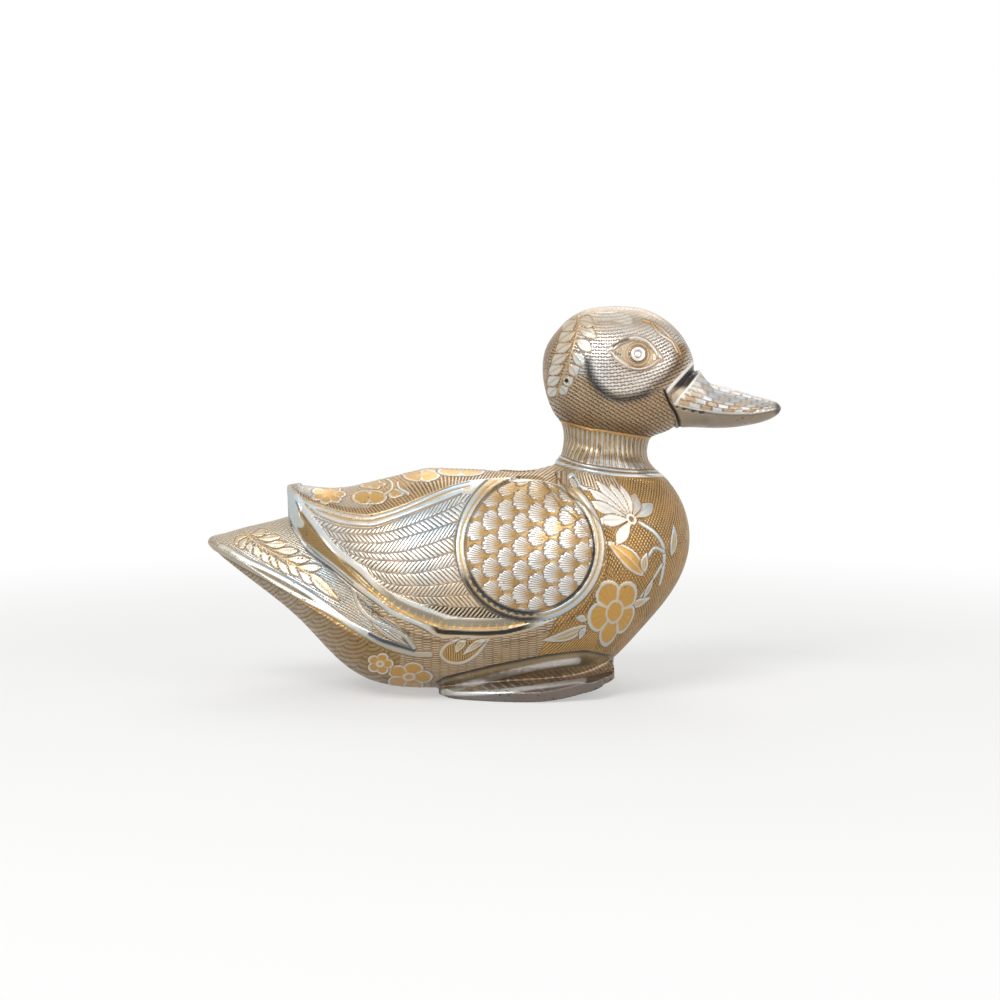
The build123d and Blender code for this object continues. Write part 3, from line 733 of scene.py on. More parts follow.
def draw_disc(art, at):
    """Round plate of shells in the middle of the wing, in its double ring."""
    px, py = at.side.T
    radius = np.hypot(at.x - DISC_MM[0], at.z - DISC_MM[1])
    plate = at.on["body"] & (at.y > 12) & (py > height_at(BACK_EDGE_PX, px) + 1)
    inner, outer = DISC_RADIUS_MM - RING_MM, DISC_RADIUS_MM
    rows = np.nonzero(plate & (radius < inner + 0.2))[0]
    tilt = math.radians(SHELL_AXIS_DEGREES)
    unit = np.array([math.cos(tilt), math.sin(tilt)])
    found, reach, lean = nearest_shell(at.side[rows], unit)
    white = ease((reach - 0.38) / 0.50)
    higher = ease((SHELL_DULL_PX - py[rows]) / 25)
    art.lay(rows, 1, NO_CUTS, relief=0.45 + 0.53 * white, gilt=0.45 * (1 - white), wide=0.28,
            silver=0.1 + (0.85 - 0.4 * higher) * white, bright=0.65 * white * (1 - higher),
            soot=0, ink=0, fine=0.85 * ease((reach - 0.15) / 0.2), barb=0.6,
            u=lean / (2 * SHELL_HALF_ANGLE) * SHELL_RIBS + 0.5)
    art.lay(rows, ease((reach - 0.945) / 0.02), relief=0.3, bright=0, ink=0.75, fine=0)
    art.lay(rows, 1.0 - found, relief=0.4, gilt=0.5, fine=0)
    rows = np.nonzero(plate & within(radius, (inner - 1.2, outer + 3.0)))[0]
    r = radius[rows]
    across, up = (at.x[rows] - DISC_MM[0]) / r, (at.z[rows] - DISC_MM[1]) / r
    below = ease((-up - 0.25) / 0.25) * ease((0.3 - across) / 0.3)
    right = ease((across - 0.2) / 0.3) * ease((0.7 - up) / 0.3)
    saw = np.abs((np.arctan2(up, across) * 9.0) % 1.0 - 0.5) * 2
    pale = dict(relief=1, silver=0.95, gilt=0, soot=0.1)
    # The inner edge of the ring gets painted shade, more on its right side
    for low, high, levels in (
        (inner - 0.9, inner - 0.1, dict(relief=0.3, soot=0.35 + 0.6 * right)),
        (inner, inner + 0.95, pale),
        (inner + 0.9, inner + 1.4, dict(relief=0.6, silver=0.1, gilt=0.6, soot=0.15 * right)),
        (inner + 1.4, outer + 0.1, pale),
    ):
        art.lay(rows, between(r, low, high, 0.3), SMOOTH, **levels)
    dull = between(r, inner, outer, 0.4) * ease((up - 0.6) / 0.2)
    art.lay(rows, dull, silver=0.3, gilt=0.3, soot=0.15)
    # Painted shade on the lower side of both rings
    for low, high in ((inner - 0.6, inner + 0.5 + 0.5 * saw), (inner + 1.3, outer - 0.1)):
        art.lay(rows, between(r, low, high, 0.2) * below, soot=0.95, gilt=0)
    art.lay(rows, between(r, outer + 0.2, outer + 0.6, 0.3), relief=0.25, ink=0.6, soot=0.1, fine=0)
    draw_teeth(art, at, plate & (radius > outer + 0.4))


def draw_teeth(art, at, free):
    """Toothed border that runs along the low edge of the wing and up round the disc."""
    px, py = at.side.T
    rows = np.nonzero(free & within(px, TEETH_SPAN_PX) & (py > TEETH_TOP_PX))[0]
    distance, along = line_distance(at.side[rows], curve(TEETH_LINE_PX))
    x = px[rows]
    east = ease((x - TEETH_STARTS_PX["silver"]) / 30)
    middle = ease((x - TEETH_STARTS_PX["black"]) / 10) * (1 - east)
    grey = between(distance, -9.0, 0.0) * ease((x - TEETH_STARTS_PX["grey"]) / 20)
    art.lay(rows, grey, SMOOTH, relief=0.8, silver=0.6, gilt=0, soot=0.45 - 0.35 * east)
    zigzag = between(distance, -7.0, -4.0) * between(x, *ZIGZAG_SPAN_PX, 10)
    art.lay(rows, zigzag * (0.5 + 0.5 * np.sin(along * 1.9)), soot=0.6)
    phase = np.abs((along / TEETH_PITCH_PX) % 1.0 - 0.5) * 2
    spike = 5.0 * np.clip(1.0 - 2.4 * phase, 0.0, 1.0)
    teeth = between(distance, -1.2 - spike, 1.4, 0.8)
    art.lay(rows, teeth, SMOOTH, relief=1, silver=0.15, gilt=0.65, soot=0)
    art.lay(rows, between(distance, 1.0, 2.2, 0.6) * middle, silver=0.9, gilt=0, bright=0.3)
    # Painted shadow: a black band below the teeth
    art.lay(rows, between(distance, 2.0, 6.6) * middle, SMOOTH, relief=0.5, soot=0.97, gilt=0,
            silver=0.3)
    art.lay(rows, between(distance, 1.6, 8.0) * east, SMOOTH, relief=1, soot=0, gilt=0, silver=1,
            bright=0.6)
    art.lay(rows, between(distance, 6.8, 8.8) * middle, SMOOTH, relief=1, gilt=0.3, silver=0.6,
            soot=0)


def draw_breast(art, at):
    """Daisy, gold flower and leaves on the breast and the flank, and the curl under the wing."""
    py = at.side[:, 1]
    art.places = np.column_stack([at.round[:, 0], py])
    art.open = at.on["body"] & (py > BREAST_TOP_PX) & (at.x > -40)
    art.open &= ~inside(at.side, WING_OUTLINE_PX)
    for line, wide in ((STEM_PX, 4.6), (STEM_BRANCHES_PX[0], 3.4), (STEM_BRANCHES_PX[1], 3.4)):
        art.edged(at.wrap(line), wide, 2, silver=0.9, gilt=0)
    for *ends, wide, bend in GOLD_LEAVES_PX:
        art.leaf(*at.wrap(ends), wide, bend, edge=2.6, gilt=0.8, silver=0, fine=0.1)
    art.edged(at.wrap(SHOULDER_LINE_PX), 3.8, 1.8, silver=1, gilt=0)
    daisy = at.wrap([DAISY_PX])[0]
    for tip, (x, _) in zip(at.wrap(DAISY_PETALS_PX), DAISY_PETALS_PX):
        late = x > DAISY_SHADE_PX
        art.leaf(daisy, tip, 12.5, edge=1.2, full=1.35, rim=dict(gilt=0.6, silver=0.3),
                 silver=1, gilt=0, fine=0, bright=0.5 - 0.4 * late, soot=0.35 * late)
    rows = art.near([daisy], 8)
    far = np.hypot(*(art.places[rows] - daisy).T)
    art.lay(rows, between(far, 3.0, 5.4), PALE, bright=0.8)
    art.lay(rows, ease(3.4 - far), relief=0.5, gilt=0.6, bright=0, fine=0, soot=0)
    flower = at.wrap([GOLD_FLOWER_PX])[0]
    art.flower(flower, 36, 5, tall=0.98, turn=-0.37, heart=0.31, rim=4.4)
    for *ends, wide, bend in LOWER_LEAVES_PX:
        art.leaf(*at.wrap(ends), wide, bend, edge=2.2, gilt=0.4, silver=0.4)
    art.places = at.side
    rows = art.near(CURL_PX, 4)
    held = inside(art.places[rows], curve(CURL_PX)).astype(float)
    art.lay(rows, held, relief=0.8, gilt=0.35, silver=0.1, fine=0.9, cross=0, wide=0.4,
            u=art.places[rows, 0] / 2.3)
    art.edged(CURL_PX, 3.2, 1.4, silver=0.75, gilt=0)
    for base, tip, wide, bend in CURL_HEART_PX:
        art.leaf(base, tip, wide, bend, edge=1.6, gilt=0.6, silver=0.3, fine=0.1)


def draw_neck(art, at):
    """Gold line on the neck's seam and the two pale lines round its foot."""
    px, py = at.side.T
    first, second = NECK_LINES_PX
    art.open = (at.on["body"] | at.on["head"]) & (py > NECK_TOP_PX) & (at.x > 5)
    band = art.open & (py > height_at(NECK_SEAM_PX, px)) & (py < height_at(first, px))
    art.fill(band, silver=0.48, gilt=0, fine=1, wide=0.5, dash=0, cross=0, soot=0.24, relief=0.8,
             u=at.flutes)
    rows = np.nonzero(band)[0]
    stripe = ease((np.abs(art.u[rows] % 1.0 - 0.5) * 2 - 0.70) / 0.15)
    art.lay(rows, stripe, gilt=0.9, fine=0, relief=0.6)
    # Painted highlight along the neck
    art.line(NECK_SHINE_PX, 6, soft=3.0, bright=0.8)
    art.line(NECK_DARK_PX, 5, soft=5.0, soot=0.6)
    art.line(first, 4.2, GROOVE, gilt=0.5)
    art.line(second, 5.6, GROOVE, gilt=0.5)
    art.line(first, 2.3, PALE)
    art.line(second, 3.8, PALE)
    art.line(first[-2:], 5, soot=0.4)
    art.line(NECK_SEAM_PX, 1.2, shift=(0, -1.8), relief=0.3, ink=0.9, fine=0)
    art.line(NECK_SEAM_PX, 1.9, CLEAN, gilt=0.8, silver=0)


def draw_tail(art, at):
    """Sprig, long leaf and bands of the tail, and the flowers under it."""
    px, py = at.side.T
    high, low = TAIL_BANDS_PX
    art.open = at.on["body"] & (at.x < 0) & ~inside(at.side, WING_OUTLINE_PX)
    under = art.open & (py > height_at(low, px)) & (px < TAIL_UNDER_END_PX)
    rows = np.nonzero(under)[0]
    distance, along = line_distance(at.side[rows], curve(low))
    cell = along % TAIL_CELL_PX
    art.lay(rows, 1, NO_CUTS, silver=0.25, gilt=0.2, fine=0.55, soot=0.36, wide=0.38,
            u=np.hypot(cell, 0.9 * distance) / 4)
    ridge = ease((0.5 - np.abs(art.u[rows] % 2.0 - 1.0)) * 4)
    art.lay(rows, ridge, gilt=0.45, silver=0)
    for line in TAIL_BANDS_PX:
        art.line(line, 7.4, relief=0.35, ink=0.7, soot=0.1, fine=0)
    art.line(low, 5.4, PALE, silver=0.75, soot=0.16)
    art.line(high, 5.2, CLEAN, silver=1, soot=0.08)
    art.line(high[-3:], 4.4, soft=2.0, soot=0.9, bright=0)
    for base, tip in TAIL_LEAVES_PX:
        art.leaf(base, tip, 7.6, 1.2, edge=1.0, full=1.6, rim=dict(gilt=0.25, silver=0.4),
                 silver=1, gilt=0, fine=0, soot=0.12)
    art.leaf(*TAIL_TIP_LEAF_PX, edge=1.0, full=0.7, rim=dict(gilt=0.5, silver=0.3),
             silver=0.9, gilt=0.1, fine=0.2)
    art.line(TAIL_STEM_PX, 1.8, CLEAN, silver=0.3, gilt=0.5)
    art.leaf(*PAISLEY_PX, edge=1.2, ribs=2.6, striped=True, rim=dict(gilt=0.4, silver=0.5),
             silver=0.9, gilt=0, fine=0.9)
    art.line(PAISLEY_SHADE_PX, 4, soft=3.0, soot=0.8)
    art.edged(PAISLEY_NECK_PX, 3.6, 2, SHALLOW, silver=1, gilt=0)
    art.line(PAISLEY_NECK_PX, 0.8, ink=0.6)
    for centre, reach, tall in BELLY_FLOWERS_PX:
        art.flower(centre, reach, 5, tall=tall, heart=0.22, rim=2.6)


def draw_back(art, at):
    """Flowers and scrolls along the back beside its spine."""
    px, py = at.side.T
    art.open = at.on["body"] & (at.normals[:, 2] > 0.1) & (at.z > 52) & (at.x < 14)
    art.open &= (py < height_at(BACK_EDGE_PX, px)) & (at.y > 2.5)
    for centre, reach, tall, lobes in BACK_FLOWERS_PX:
        art.flower(centre, reach, lobes, tall=tall, heart=0.0, rim=2.8, gilt=0.6, fine=0)
    for line in BACK_SCROLLS_PX:
        art.edged(line, 2.4, 1.6, SHALLOW, silver=0.9, gilt=0)


def draw_head(art, at):
    """Dashed down of the head, with its eye, its leaves, painted highlights and a painted dark
    reflection round its cheek.
    """
    px, py = at.side.T
    head = at.on["head"]
    art.open = head
    flow_x, flow_y = (at.side - np.array(FLOW_CENTRE_PX)).T
    start_x, start_y = CHEEK_START_PX
    cheek = np.where(px < start_x, start_y, height_at(DARK_REFLECTION_PX, px))
    # Painted shade: the head below the dark reflection line is less silver and darker; the
    # upward-facing crown is also painted darker
    low = ease((py - cheek + 3) / 12)
    crown = ease((CROWN_PX - py) / 20) * ease((at.normals[:, 2] - 0.45) / 0.3)
    art.fill(head, NO_CUTS, barb=0, relief=0.7, silver=0.95 - 0.35 * crown - 0.70 * low, gilt=0,
             wide=0.52, fine=1.0 - 0.85 * crown, dash=1, soot=0.14 * crown + 0.10 * low,
             u=np.hypot(flow_x, flow_y) / DOWN_PITCH_PX[0],
             v=np.arctan2(flow_y, flow_x) * FLOW_REACH_PX / DOWN_PITCH_PX[1])
    art.fill(head & (low > 0.4), **cycles(px, py, CHEEK_CUTS))
    art.fill(head & (at.y < 7) & (py < NAPE_END_PX), **cycles(*at.round.T, NAPE_CUTS))
    rows = np.nonzero(head)[0]
    art.lay(rows, ease((HEAD_BACK_PX - px[rows]) / 26), silver=0.45, gilt=0.15, soot=0.14)
    art.line(CROWN_BRICKS_PX, 9, soft=2.0, fine=0.4, silver=1, soot=0)
    # Painted dark reflection along the cheek and on up past the brow
    art.line(DARK_REFLECTION_PX, 8, soft=8.0, soot=0.85)
    art.line(BROW_DARK_REFLECTION_PX, 12, soft=8.0, soot=0.35, silver=0.1, gilt=0.2)
    art.line(BROW_DARK_REFLECTION_PX[:3], 3, soft=4.0, soot=0.7)
    # Painted highlight on the cheek above the dark reflection
    art.line(CHEEK_SHINE_PX, 7, soft=6.0, bright=0.75)
    far = np.hypot(*(at.side[rows] - np.array(EYE_PX)).T)
    # Painted highlight in a ring round the eye
    art.lay(rows, between(far, 18, 38, 16) * (1 - low[rows]) * (1 - crown[rows]), bright=0.55)
    outline = np.vstack([curve(LID_TOP_PX), curve(LID_LOW_PX)[::-1]])
    held = inside(at.side[rows], outline).astype(float)
    art.lay(rows, held, CLEAN, relief=0.8, silver=0.7, gilt=0.15, bright=0)
    for radius in (EYEBALL_PX + 1.6, IRIS_PX):
        ring = held * between(far, radius - 0.6, radius + 0.6)
        art.lay(rows, ring, gilt=0.6, ink=0.4, relief=0.4)
    for line, wide in ((LID_TOP_PX, 3.8), (LID_LOW_PX, 2.6)):
        art.line(line, wide + 2.4, relief=0.4, gilt=0.7, ink=0.4, fine=0, bright=0)
        art.line(line, wide, PALE, silver=0.95, bright=0.5)
    art.line(LID_SHADE_PX, 2.6, soft=1.5, soot=0.8, bright=0)
    art.lay(rows, ease(EYEBALL_PX + 1.0 - far), relief=0.3, soot=0.35, ink=0.6, fine=0)
    art.lay(rows, ease(EYEBALL_PX - far), PALE, bright=0.9)
    art.lay(rows, between(far, 3.0, 4.0), relief=0.5, ink=0.7, bright=0)
    for base, tip in ACANTHUS_LOBES_PX:
        bend = -1.5 if tip[0] > base[0] else 1.5
        art.leaf(base, tip, 11.5, bend, edge=0.9, full=1.15, rim=dict(gilt=0.4, silver=0.4),
                 silver=1, gilt=0, fine=0)
    art.line(ACANTHUS_STEM_PX, 1.8, CLEAN, silver=0.3, gilt=0.5)
    for line in FOREHEAD_LINES_PX:
        art.line(line, 3.6, relief=0.4, ink=0.6, soot=0.2)
        art.line(line, 2, CLEAN, gilt=0.9)
    # Painted shade inside the small hole
    hole = np.hypot(*(at.side[rows] - np.array(HEAD_HOLE_PX)).T)
    art.lay(rows, ease(2.6 - hole), relief=0, soot=1, fine=0)


def draw_bill(art, at):
    """Bill: its polished collar with a painted dark reflection, the chequered top and the plain
    sides.
    """
    px, py = at.side.T
    bill = at.on["bill"]
    art.open = bill
    art.fill(bill, NO_CUTS, relief=0.9, silver=0.45, soot=0.4, fine=0)
    top = height_at(BILL_TOP_PX, px)
    edge = height_at(BILL_EDGE_PX, px)
    share = np.clip((py - top) / np.maximum(edge - top, 2.0), -0.4, 1.0)
    column = (px - BILL_ROOT_PX + 3.0 * share) / 11.0
    row = share * 6.0
    shade = np.floor(column + 0.5 * np.floor(row)) % 2
    low = ease((share - 0.45) / 0.3)
    root = ease((BILL_BRICKS_PX - px) / 12)
    art.fill(bill & (py < edge), relief=0.85, silver=0.9, wide=0.20 + 0.2 * root, soot=0.08,
             gilt=(0.25 + 0.35 * low) * shade, bright=0.6 * low * (1 - shade),
             fine=0.45 + 0.4 * low, brick=1.0 - root, dash=root, u=row, v=column)
    art.line(BILL_EDGE_PX, 1.9, CLEAN, shift=(0, 2.4), relief=0.6, soot=0.5)
    art.line(BILL_EDGE_PX, 1.8, CLEAN, silver=0.95, bright=0.5)
    rows = np.nonzero(bill)[0]
    art.lay(rows, ease((px[rows] - BILL_DARK_PX) / 5), soot=0.85, fine=0, ink=0)
    art.open = bill | at.on["head"]
    # Painted dark reflection on the upper part of the polished collar, lighter lower down
    rows = np.nonzero(art.open & inside(at.side, BILL_SEAT_PX + BILL_BAND_PX[::-1]))[0]
    lower = ease((py[rows] - COLLAR_LOW_PX) / 6)
    art.lay(rows, 1, relief=0.8, silver=0.5, gilt=0, soot=0.97 - 0.72 * lower, dash=0, bright=0,
            fine=0, ink=0)
    art.line(BILL_SEAT_PX, 3, PALE, bright=0.9)
    art.line(BILL_BAND_PX, 1.8, PALE, silver=0.9, bright=0.7)
    # Painted shade in the groove of the jaw
    art.line(JAW_GROOVE_PX, 2.8, relief=0, soot=1, bright=0, fine=0, ink=0)


def draw_feet(art, at):
    """Webbed feet: two silver toes with painted highlights on each, a cut web between them and a
    pitted rim greyed with painted shade.
    """
    px, py = at.side.T
    low = at.on["body"] & (at.z < FOOT_HEIGHT_MM) & (py > height_at(FOOT_TOP_PX, px))
    art.open = at.on["foot_right"] | at.on["foot_left"] | (low & within(px, FOOT_SPAN_PX))
    # Painted shade on the feet and the body's lowest band, which stand under the body
    art.fill(art.open, SMOOTH, relief=0.85, silver=0.45, gilt=0, soot=0.5)
    art.fill(art.open & (py < height_at(FOOT_RIDGE_LOW_PX, px)), silver=0.3, soot=0.3)
    # Painted shadow of the body along the top of the feet
    art.line(FOOT_TOP_PX, 6, soft=4.0, soot=0.85)
    web = art.open & (py > height_at(WEB_HIGH_PX, px)) & (py < height_at(WEB_LOW_PX, px))
    rows = np.nonzero(web & (px > WEB_START_PX))[0]
    pitch = np.interp(px[rows], WEB_FAN_PX, [7.0, 4.2])
    stripe = np.abs(((px[rows] - 0.9 * py[rows]) / pitch) % 1.0 - 0.5) * 2
    art.lay(rows, 1, relief=0.6, silver=0.45, soot=0.05, fine=0, ink=0.3)
    art.lay(rows, ease((stripe - 0.62) / 0.22), gilt=0.7, ink=0, soot=0, relief=0.9, bright=0.35)
    # Painted highlights on the two silver toes
    art.line(FOOT_RIDGE_HIGH_PX, 6.2, CLEAN, soft=2.4, silver=1, bright=1)
    art.line(FOOT_RIDGE_LOW_PX, 4.8, CLEAN, soft=2.0, silver=1, bright=0.6)


# Materials

def paint(red, green, blue):
    """Linear colour from the values that a screen shows."""
    shown = np.array([red, green, blue]) / 255.0
    linear = np.where(shown <= 0.04045, shown / 12.92, ((shown + 0.055) / 1.055) ** 2.4)
    return (*linear.tolist(), 1.0)


class Graph:
    """Node tree of one material, put together from short calls."""

    def __init__(self, name):
        self.material = bpy.data.materials.new(name)
        self.material.use_nodes = True
        self.tree = self.material.node_tree
        self.shader = self.tree.nodes["Principled BSDF"]

    def node(self, kind, **settings):
        made = self.tree.nodes.new("ShaderNode" + kind)
        for name, value in settings.items():
            setattr(made, name, value)
        return made

    def put(self, socket, value):
        if isinstance(value, bpy.types.NodeSocket):
            self.tree.links.new(value, socket)
        else:
            socket.default_value = value

    def math(self, operation, first, second=0.0, clamp=False):
        made = self.node("Math", operation=operation, use_clamp=clamp)
        self.put(made.inputs[0], first)
        self.put(made.inputs[1], second)
        return made.outputs[0]

    def step(self, value, low, high, start=0.0, end=1.0):
        made = self.node("MapRange", interpolation_type="SMOOTHSTEP")
        for slot, number in enumerate((value, low, high, start, end)):
            self.put(made.inputs[slot], number)
        return made.outputs["Result"]

    def mix(self, factor, first, second):
        made = self.node("Mix", data_type="RGBA")
        self.put(made.inputs["Factor"], factor)
        self.put(made.inputs["A"], first)
        self.put(made.inputs["B"], second)
        return made.outputs["Result"]

    def field(self, name):
        return self.node("Attribute", attribute_name=name).outputs["Fac"]

    def noise(self, name, detail=3.0):
        made = self.node("TexNoise")
        self.put(made.inputs["Vector"], self.object_place())
        made.inputs["Scale"].default_value = NOISES[name]
        made.inputs["Detail"].default_value = detail
        return made.outputs["Fac"]

    def edge_of_cycle(self, value):
        """One on the line between two cycles, zero in the middle of a cycle."""
        part = self.math("FRACT", value)
        return self.product(self.math("ABSOLUTE", self.math("SUBTRACT", part, 0.5)), 2.0)

    def product(self, first, second):
        return self.math("MULTIPLY", first, second)

    def object_place(self):
        return self.node("TexCoord").outputs["Object"]

    def finish(self, colour, roughness, height, depth, metallic):
        self.put(self.shader.inputs["Base Color"], colour)
        self.put(self.shader.inputs["Roughness"], roughness)
        self.shader.inputs["Metallic"].default_value = metallic
        bump = self.node("Bump")
        bump.inputs["Distance"].default_value = depth
        bump.inputs["Strength"].default_value = 0.8
        self.put(bump.inputs["Height"], height)
        self.put(self.shader.inputs["Normal"], bump.outputs["Normal"])
        return self.material


SHADES = {
    "gilt": (198, 151, 76),
    # Near-white of pale parts, also used for painted highlights
    "bright": (240, 238, 234),
    "tarnish": (150, 120, 82),
    "old_cut": (92, 60, 32),
    "sunk": (96, 68, 40),
    # Near-black of painted shade, painted shadow and painted dark reflection
    "soot": (30, 25, 27),
    "pit": (40, 32, 30),
    "brass": (196, 158, 92),
    "dull_brass": (128, 94, 50),
    "floor": (238, 238, 236),
}
# Scales of the noises, in cycles per metre
NOISES = {
    "wobble": 900.0,
    "strength": 260.0,
    "worn": 45.0,
    "plate": 32.0,
    "tarnish": 18.0,
    "old_cut": 140.0,
    "pits": 75.0,
    "rough": 320.0,
    "grain": 420.0,
    "brass": 60.0,
    "brass_grain": 300.0,
}
PIT_SCALE = 620.0


def shade(name):
    return paint(*SHADES[name])


def engraved_metal(name, gold, silver, blue, brown, pits, metallic):
    """Cast and chased metal: plated ridges, bare ground and cuts full of old polish."""
    g = Graph(name)
    u, v, fine = g.field("u"), g.field("v"), g.field("fine")
    shift = g.product(g.math("FLOOR", u), 0.5)
    wobble = g.product(g.math("SUBTRACT", g.noise("wobble"), 0.5), 0.35)
    rows = g.edge_of_cycle(g.math("ADD", u, wobble))
    gaps = g.step(g.edge_of_cycle(g.math("ADD", g.math("ADD", v, shift), wobble)), 0.62, 0.92)
    plain_gaps = g.step(g.edge_of_cycle(v), 0.55, 0.9)
    wide = g.field("wide")
    past = g.math("SUBTRACT", g.math("ADD", rows, wide), 1.0)
    line = g.math("ADD", g.product(past, 4.0), 0.5, clamp=True)
    broken = g.product(g.field("dash"), gaps)
    line = g.product(line, g.math("SUBTRACT", 1.0, broken, clamp=True))
    line = g.math("MAXIMUM", line, g.product(g.field("cross"), plain_gaps))
    line = g.math("MAXIMUM", line, g.product(g.field("brick"), gaps))
    strength = g.step(g.noise("strength"), 0.25, 0.6, 0.72, 1.0)
    cut = g.product(g.product(line, fine), strength)
    cut = g.math("MAXIMUM", cut, g.field("ink"))
    worn = g.step(g.noise("worn", 5.0), 0.40, 0.66, 0.0, 0.35)
    silvered = g.math("SUBTRACT", g.field("silver"), worn, clamp=True)
    silvered = g.math("MAXIMUM", silvered, g.product(g.field("silver"), 0.72))
    plate = g.mix(g.step(g.noise("plate"), 0.42, 0.62), paint(*silver), paint(*blue))
    surface = g.mix(silvered, paint(*gold), plate)
    surface = g.mix(g.product(g.field("gilt"), 0.9), surface, shade("gilt"))
    # Mix towards near-white: pale parts and painted highlights
    surface = g.mix(g.field("bright"), surface, shade("bright"))
    tarnish = g.step(g.noise("tarnish", 4.0), 0.35, 0.7, 0.0, 0.16)
    surface = g.mix(tarnish, surface, shade("tarnish"))
    cut_colour = g.mix(g.step(g.noise("old_cut"), 0.4, 0.65), paint(*brown), shade("old_cut"))
    colour = g.mix(g.product(cut, 0.86), surface, cut_colour)
    sunk = g.step(g.field("relief"), 0.0, 0.70, 0.55, 0.0)
    colour = g.mix(sunk, colour, shade("sunk"))
    # Mix towards near-black: painted shade, painted shadow and painted dark reflection
    colour = g.mix(g.product(g.field("soot"), 0.97), colour, shade("soot"))
    spots = g.node("TexVoronoi")
    g.put(spots.inputs["Vector"], g.object_place())
    spots.inputs["Scale"].default_value = PIT_SCALE
    few = g.step(g.noise("pits"), 0.62 - pits, 0.74 - pits)
    pit = g.product(g.step(spots.outputs["Distance"], 0.30, 0.12), few)
    colour = g.mix(g.product(pit, 0.75), colour, shade("pit"))
    rough = g.math("ADD", 0.26, g.product(cut, 0.22))
    rough = g.math("ADD", rough, g.product(sunk, 0.3))
    rough = g.math("ADD", rough, g.step(g.noise("rough"), 0.3, 0.7, 0.0, 0.16), clamp=True)
    height = g.math("SUBTRACT", 1.0, cut)
    height = g.math("SUBTRACT", height, g.product(pit, 0.8))
    height = g.math("ADD", height, g.product(g.noise("grain"), 0.22))
    return g.finish(colour, rough, height, 0.16 * MM, metallic)


def bare_brass(name):
    """Plain brass of the ring inside the neck, dull and spotted."""
    g = Graph(name)
    dull = g.step(g.noise("brass", 5.0), 0.35, 0.7)
    colour = g.mix(dull, shade("brass"), shade("dull_brass"))
    rough = g.math("ADD", 0.38, g.product(dull, 0.25))
    return g.finish(colour, rough, g.noise("brass_grain", 6.0), 0.08 * MM, 0.9)


METALS = {
    "body": dict(gold=(198, 164, 104), silver=(214, 214, 207), blue=(184, 206, 217),
                 brown=(132, 88, 40), pits=0.04),
    "head": dict(gold=(168, 138, 96), silver=(214, 207, 194), blue=(192, 204, 208),
                 brown=(112, 76, 44), pits=0.03),
    "bill": dict(gold=(186, 154, 106), silver=(212, 208, 200), blue=(184, 194, 202),
                 brown=(146, 108, 62), pits=0.12),
    "foot": dict(gold=(134, 100, 68), silver=(204, 210, 214), blue=(180, 200, 214),
                 brown=(206, 166, 104), pits=0.12),
}
METALLIC = 0.72


# Making of the pieces

def carved_points(points, normals, art, net):
    """Points pressed in along their normals wherever the ornament is cut, inside the CAD's box."""
    sunk = 1.0 - net.blur(art.relief, 1)
    line = ease((np.abs(art.u % 1.0 - 0.5) * 2 - 0.35) / 0.5)
    depth = CARVE_DEPTH * sunk + BARB_DEPTH * art.barb * art.fine * line
    moved = points - normals * depth[:, None]
    low, high = (np.array(corner) for corner in cad_box)
    return np.clip(moved, low + BOX_MARGIN, high - BOX_MARGIN)


def make_piece(name, points, quads, normals, art, metal):
    """One piece of the skin as an object, with the ornament's fields on its points."""
    used, numbers = np.unique(quads, return_inverse=True)
    mesh = bpy.data.meshes.new(name)
    mesh.from_pydata(points[used].tolist(), [], numbers.reshape(quads.shape).tolist())
    mesh.polygons.foreach_set("use_smooth", [True] * len(mesh.polygons))
    mesh.normals_split_custom_set_from_vertices(normals[used].tolist())
    for field in Ornament.NAMES:
        layer = mesh.attributes.new(field, "FLOAT", "POINT")
        layer.data.foreach_set("value", getattr(art, field)[used].astype(np.float32))
    mesh.materials.append(metal)
    piece = new_object(name, mesh)
    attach(piece, "root")
    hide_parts(*PIECES[name])


def engrave(points, normals, owner, net):
    """All the ornament on the skin."""
    at = Places(points, normals, owner)
    art = Ornament(at.side)
    for draw in (draw_body_ground, draw_tail, draw_back, draw_breast, draw_wing, draw_disc,
                 draw_head, draw_neck, draw_bill, draw_feet):
        draw(art, at)
    # Painted shade in the hollows: places lower than their neighbours get a darker brown line
    valley = np.clip(net.blur(art.relief, 4) - art.relief, 0.0, 1.0)
    art.ink = np.clip(art.ink + 0.9 * valley, 0.0, 1.0)
    # Painted shade on downward-facing surfaces below 60 mm
    under = ease((-normals[:, 2] - 0.25) / 0.7) * (at.z < 60)
    art.soot = np.clip(art.soot + 0.18 * under, 0.0, 1.0)
    return art


# Camera, light and floor

def aim(item, spot):
    """Turn an object so that its own minus Z looks at a spot."""
    item.rotation_euler = (Vector(spot) - item.location).to_track_quat("-Z", "Y").to_euler()


def make_camera():
    data = bpy.data.cameras.new("camera")
    camera = new_object("camera", data)
    camera.location = Vector((AIM_MM[0], -CAMERA_DISTANCE, CAMERA_HEIGHT)) * MM
    spot = Vector(AIM_MM) * MM
    aim(camera, spot)
    data.sensor_width = SENSOR
    data.lens = SENSOR * (spot - camera.location).length / (PIXEL_SIZE * MM * IMAGE_PX)
    bpy.context.scene.camera = camera


def make_lamp(name, place, watts, size):
    data = bpy.data.lights.new(name, "AREA")
    data.energy = watts
    data.size = size
    lamp = new_object(name, data)
    lamp.location = place
    aim(lamp, LAMP_AIM)


def seen_rays(tree):
    """One for camera, glossy and transmission rays, zero for the others."""
    path = tree.nodes.new("ShaderNodeLightPath")
    total = path.outputs["Is Camera Ray"]
    for name in ("Is Glossy Ray", "Is Transmission Ray"):
        both = tree.nodes.new("ShaderNodeMath")
        both.operation = "MAXIMUM"
        tree.links.new(total, both.inputs[0])
        tree.links.new(path.outputs[name], both.inputs[1])
        total = both.outputs[0]
    return total


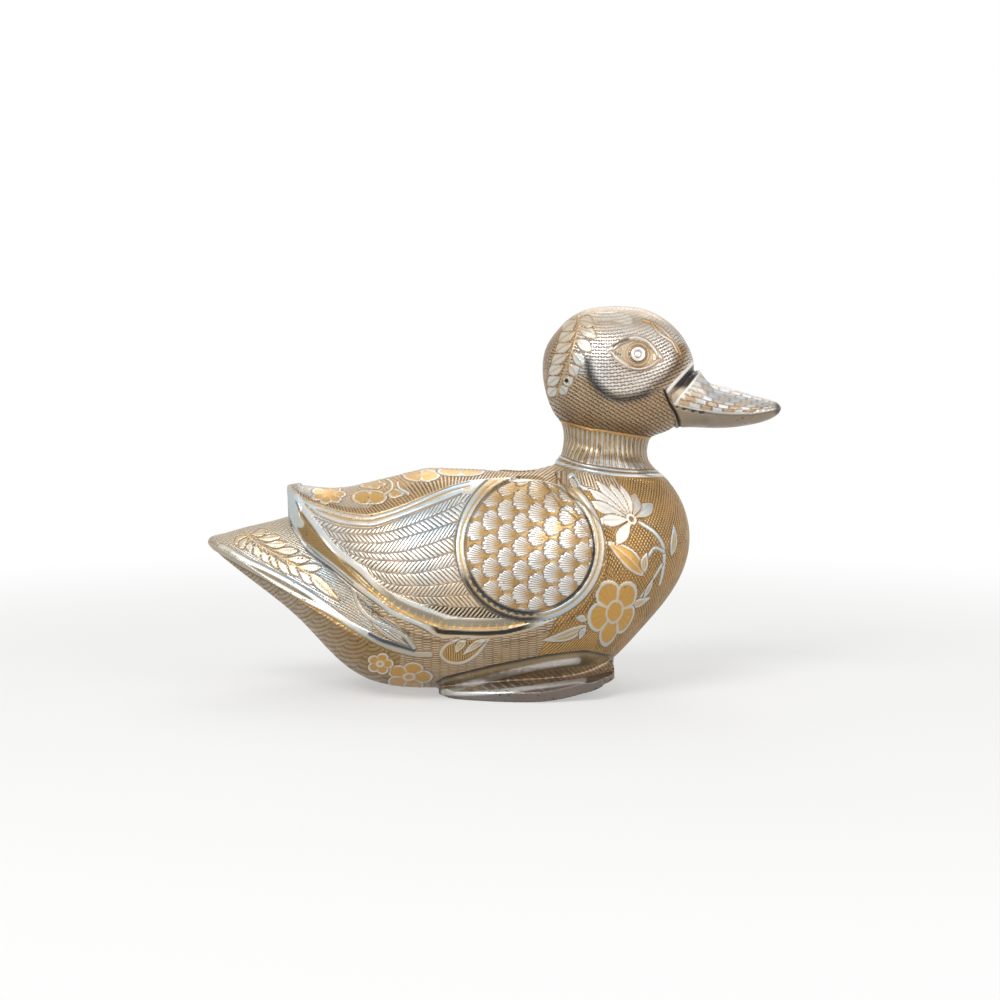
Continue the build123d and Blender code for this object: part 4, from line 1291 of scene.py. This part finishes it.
def make_world(strength):
    world = bpy.data.worlds.new("studio")
    bpy.context.scene.world = world
    world.use_nodes = True
    tree = world.node_tree
    background = tree.nodes["Background"]
    background.inputs["Color"].default_value = (1.0, 1.0, 1.0, 1.0)
    level = tree.nodes.new("ShaderNodeMapRange")
    tree.links.new(seen_rays(tree), level.inputs[0])
    level.inputs[3].default_value = strength
    level.inputs[4].default_value = 1.0
    tree.links.new(level.outputs[0], background.inputs["Strength"])


LAMP_AIM = (0.0, 0.0, 0.05)
LAMPS = {
    "key": ((-0.35, -0.60, 0.75), 5.0, 0.45),
    "fill": ((0.60, -0.45, 0.40), 1.6, 0.6),
    "back": ((0.10, 0.60, 0.70), 2.0, 0.6),
}
WORLD_STRENGTH = 0.40
FLOOR_SIZE = 6.0
SHADOW_REACH = (0.16, 0.42)
SHADOW_LIFT = 0.45


def make_floor():
    """Pale floor that keeps the shadow near the figure and is white further off."""
    mesh = bpy.data.meshes.new("floor")
    half = FLOOR_SIZE / 2
    corners = [(x * half, y * half, 0.0) for x, y in ((-1, -1), (1, -1), (1, 1), (-1, 1))]
    mesh.from_pydata(corners, [], [(0, 1, 2, 3)])
    g = Graph("floor")
    g.shader.inputs["Base Color"].default_value = shade("floor")
    g.shader.inputs["Roughness"].default_value = 0.9
    g.shader.inputs["Specular IOR Level"].default_value = 0.1
    length = g.node("VectorMath", operation="LENGTH")
    g.put(length.inputs[0], g.object_place())
    lift = g.step(length.outputs["Value"], *SHADOW_REACH, SHADOW_LIFT, 1.0)
    glow = g.node("Emission")
    blend = g.node("MixShader")
    g.put(blend.inputs[0], g.product(lift, seen_rays(g.tree)))
    g.put(blend.inputs[1], g.shader.outputs[0])
    g.put(blend.inputs[2], glow.outputs[0])
    g.put(g.tree.nodes["Material Output"].inputs["Surface"], blend.outputs[0])
    mesh.materials.append(g.material)
    floor = new_object("floor", mesh)


# The duck

joined, tree, owners = joined_frame()
points, quads = even_skin(joined)
bpy.data.objects.remove(joined)
net = Net(quads, len(points))
points = net.smooth(points, SMOOTH_ROUNDS)
normals = point_normals(points, quads)
owner = np.array([owners[tree.find_nearest(Vector(point))[2]] for point in points])
art = engrave(points, normals, owner, net)
points = carved_points(points, normals, art, net)
normals = point_normals(points, quads)
metals = {
    name: engraved_metal(name + "_metal", metallic=METALLIC, **looks)
    for name, looks in METALS.items()
}
for name, nodes in PIECES.items():
    held = np.isin(owner[quads[:, 0]], nodes)
    metal = metals[name.split("_")[0]]
    make_piece(name, points, quads[held], normals, art, metal)
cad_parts["neck_sleeve"].data.materials.clear()
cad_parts["neck_sleeve"].data.materials.append(bare_brass("inner_brass"))

make_camera()
for name, (place, watts, size) in LAMPS.items():
    make_lamp(name, place, watts, size)
make_world(WORLD_STRENGTH)
make_floor()
bpy.context.scene.view_settings.view_transform = "Standard"
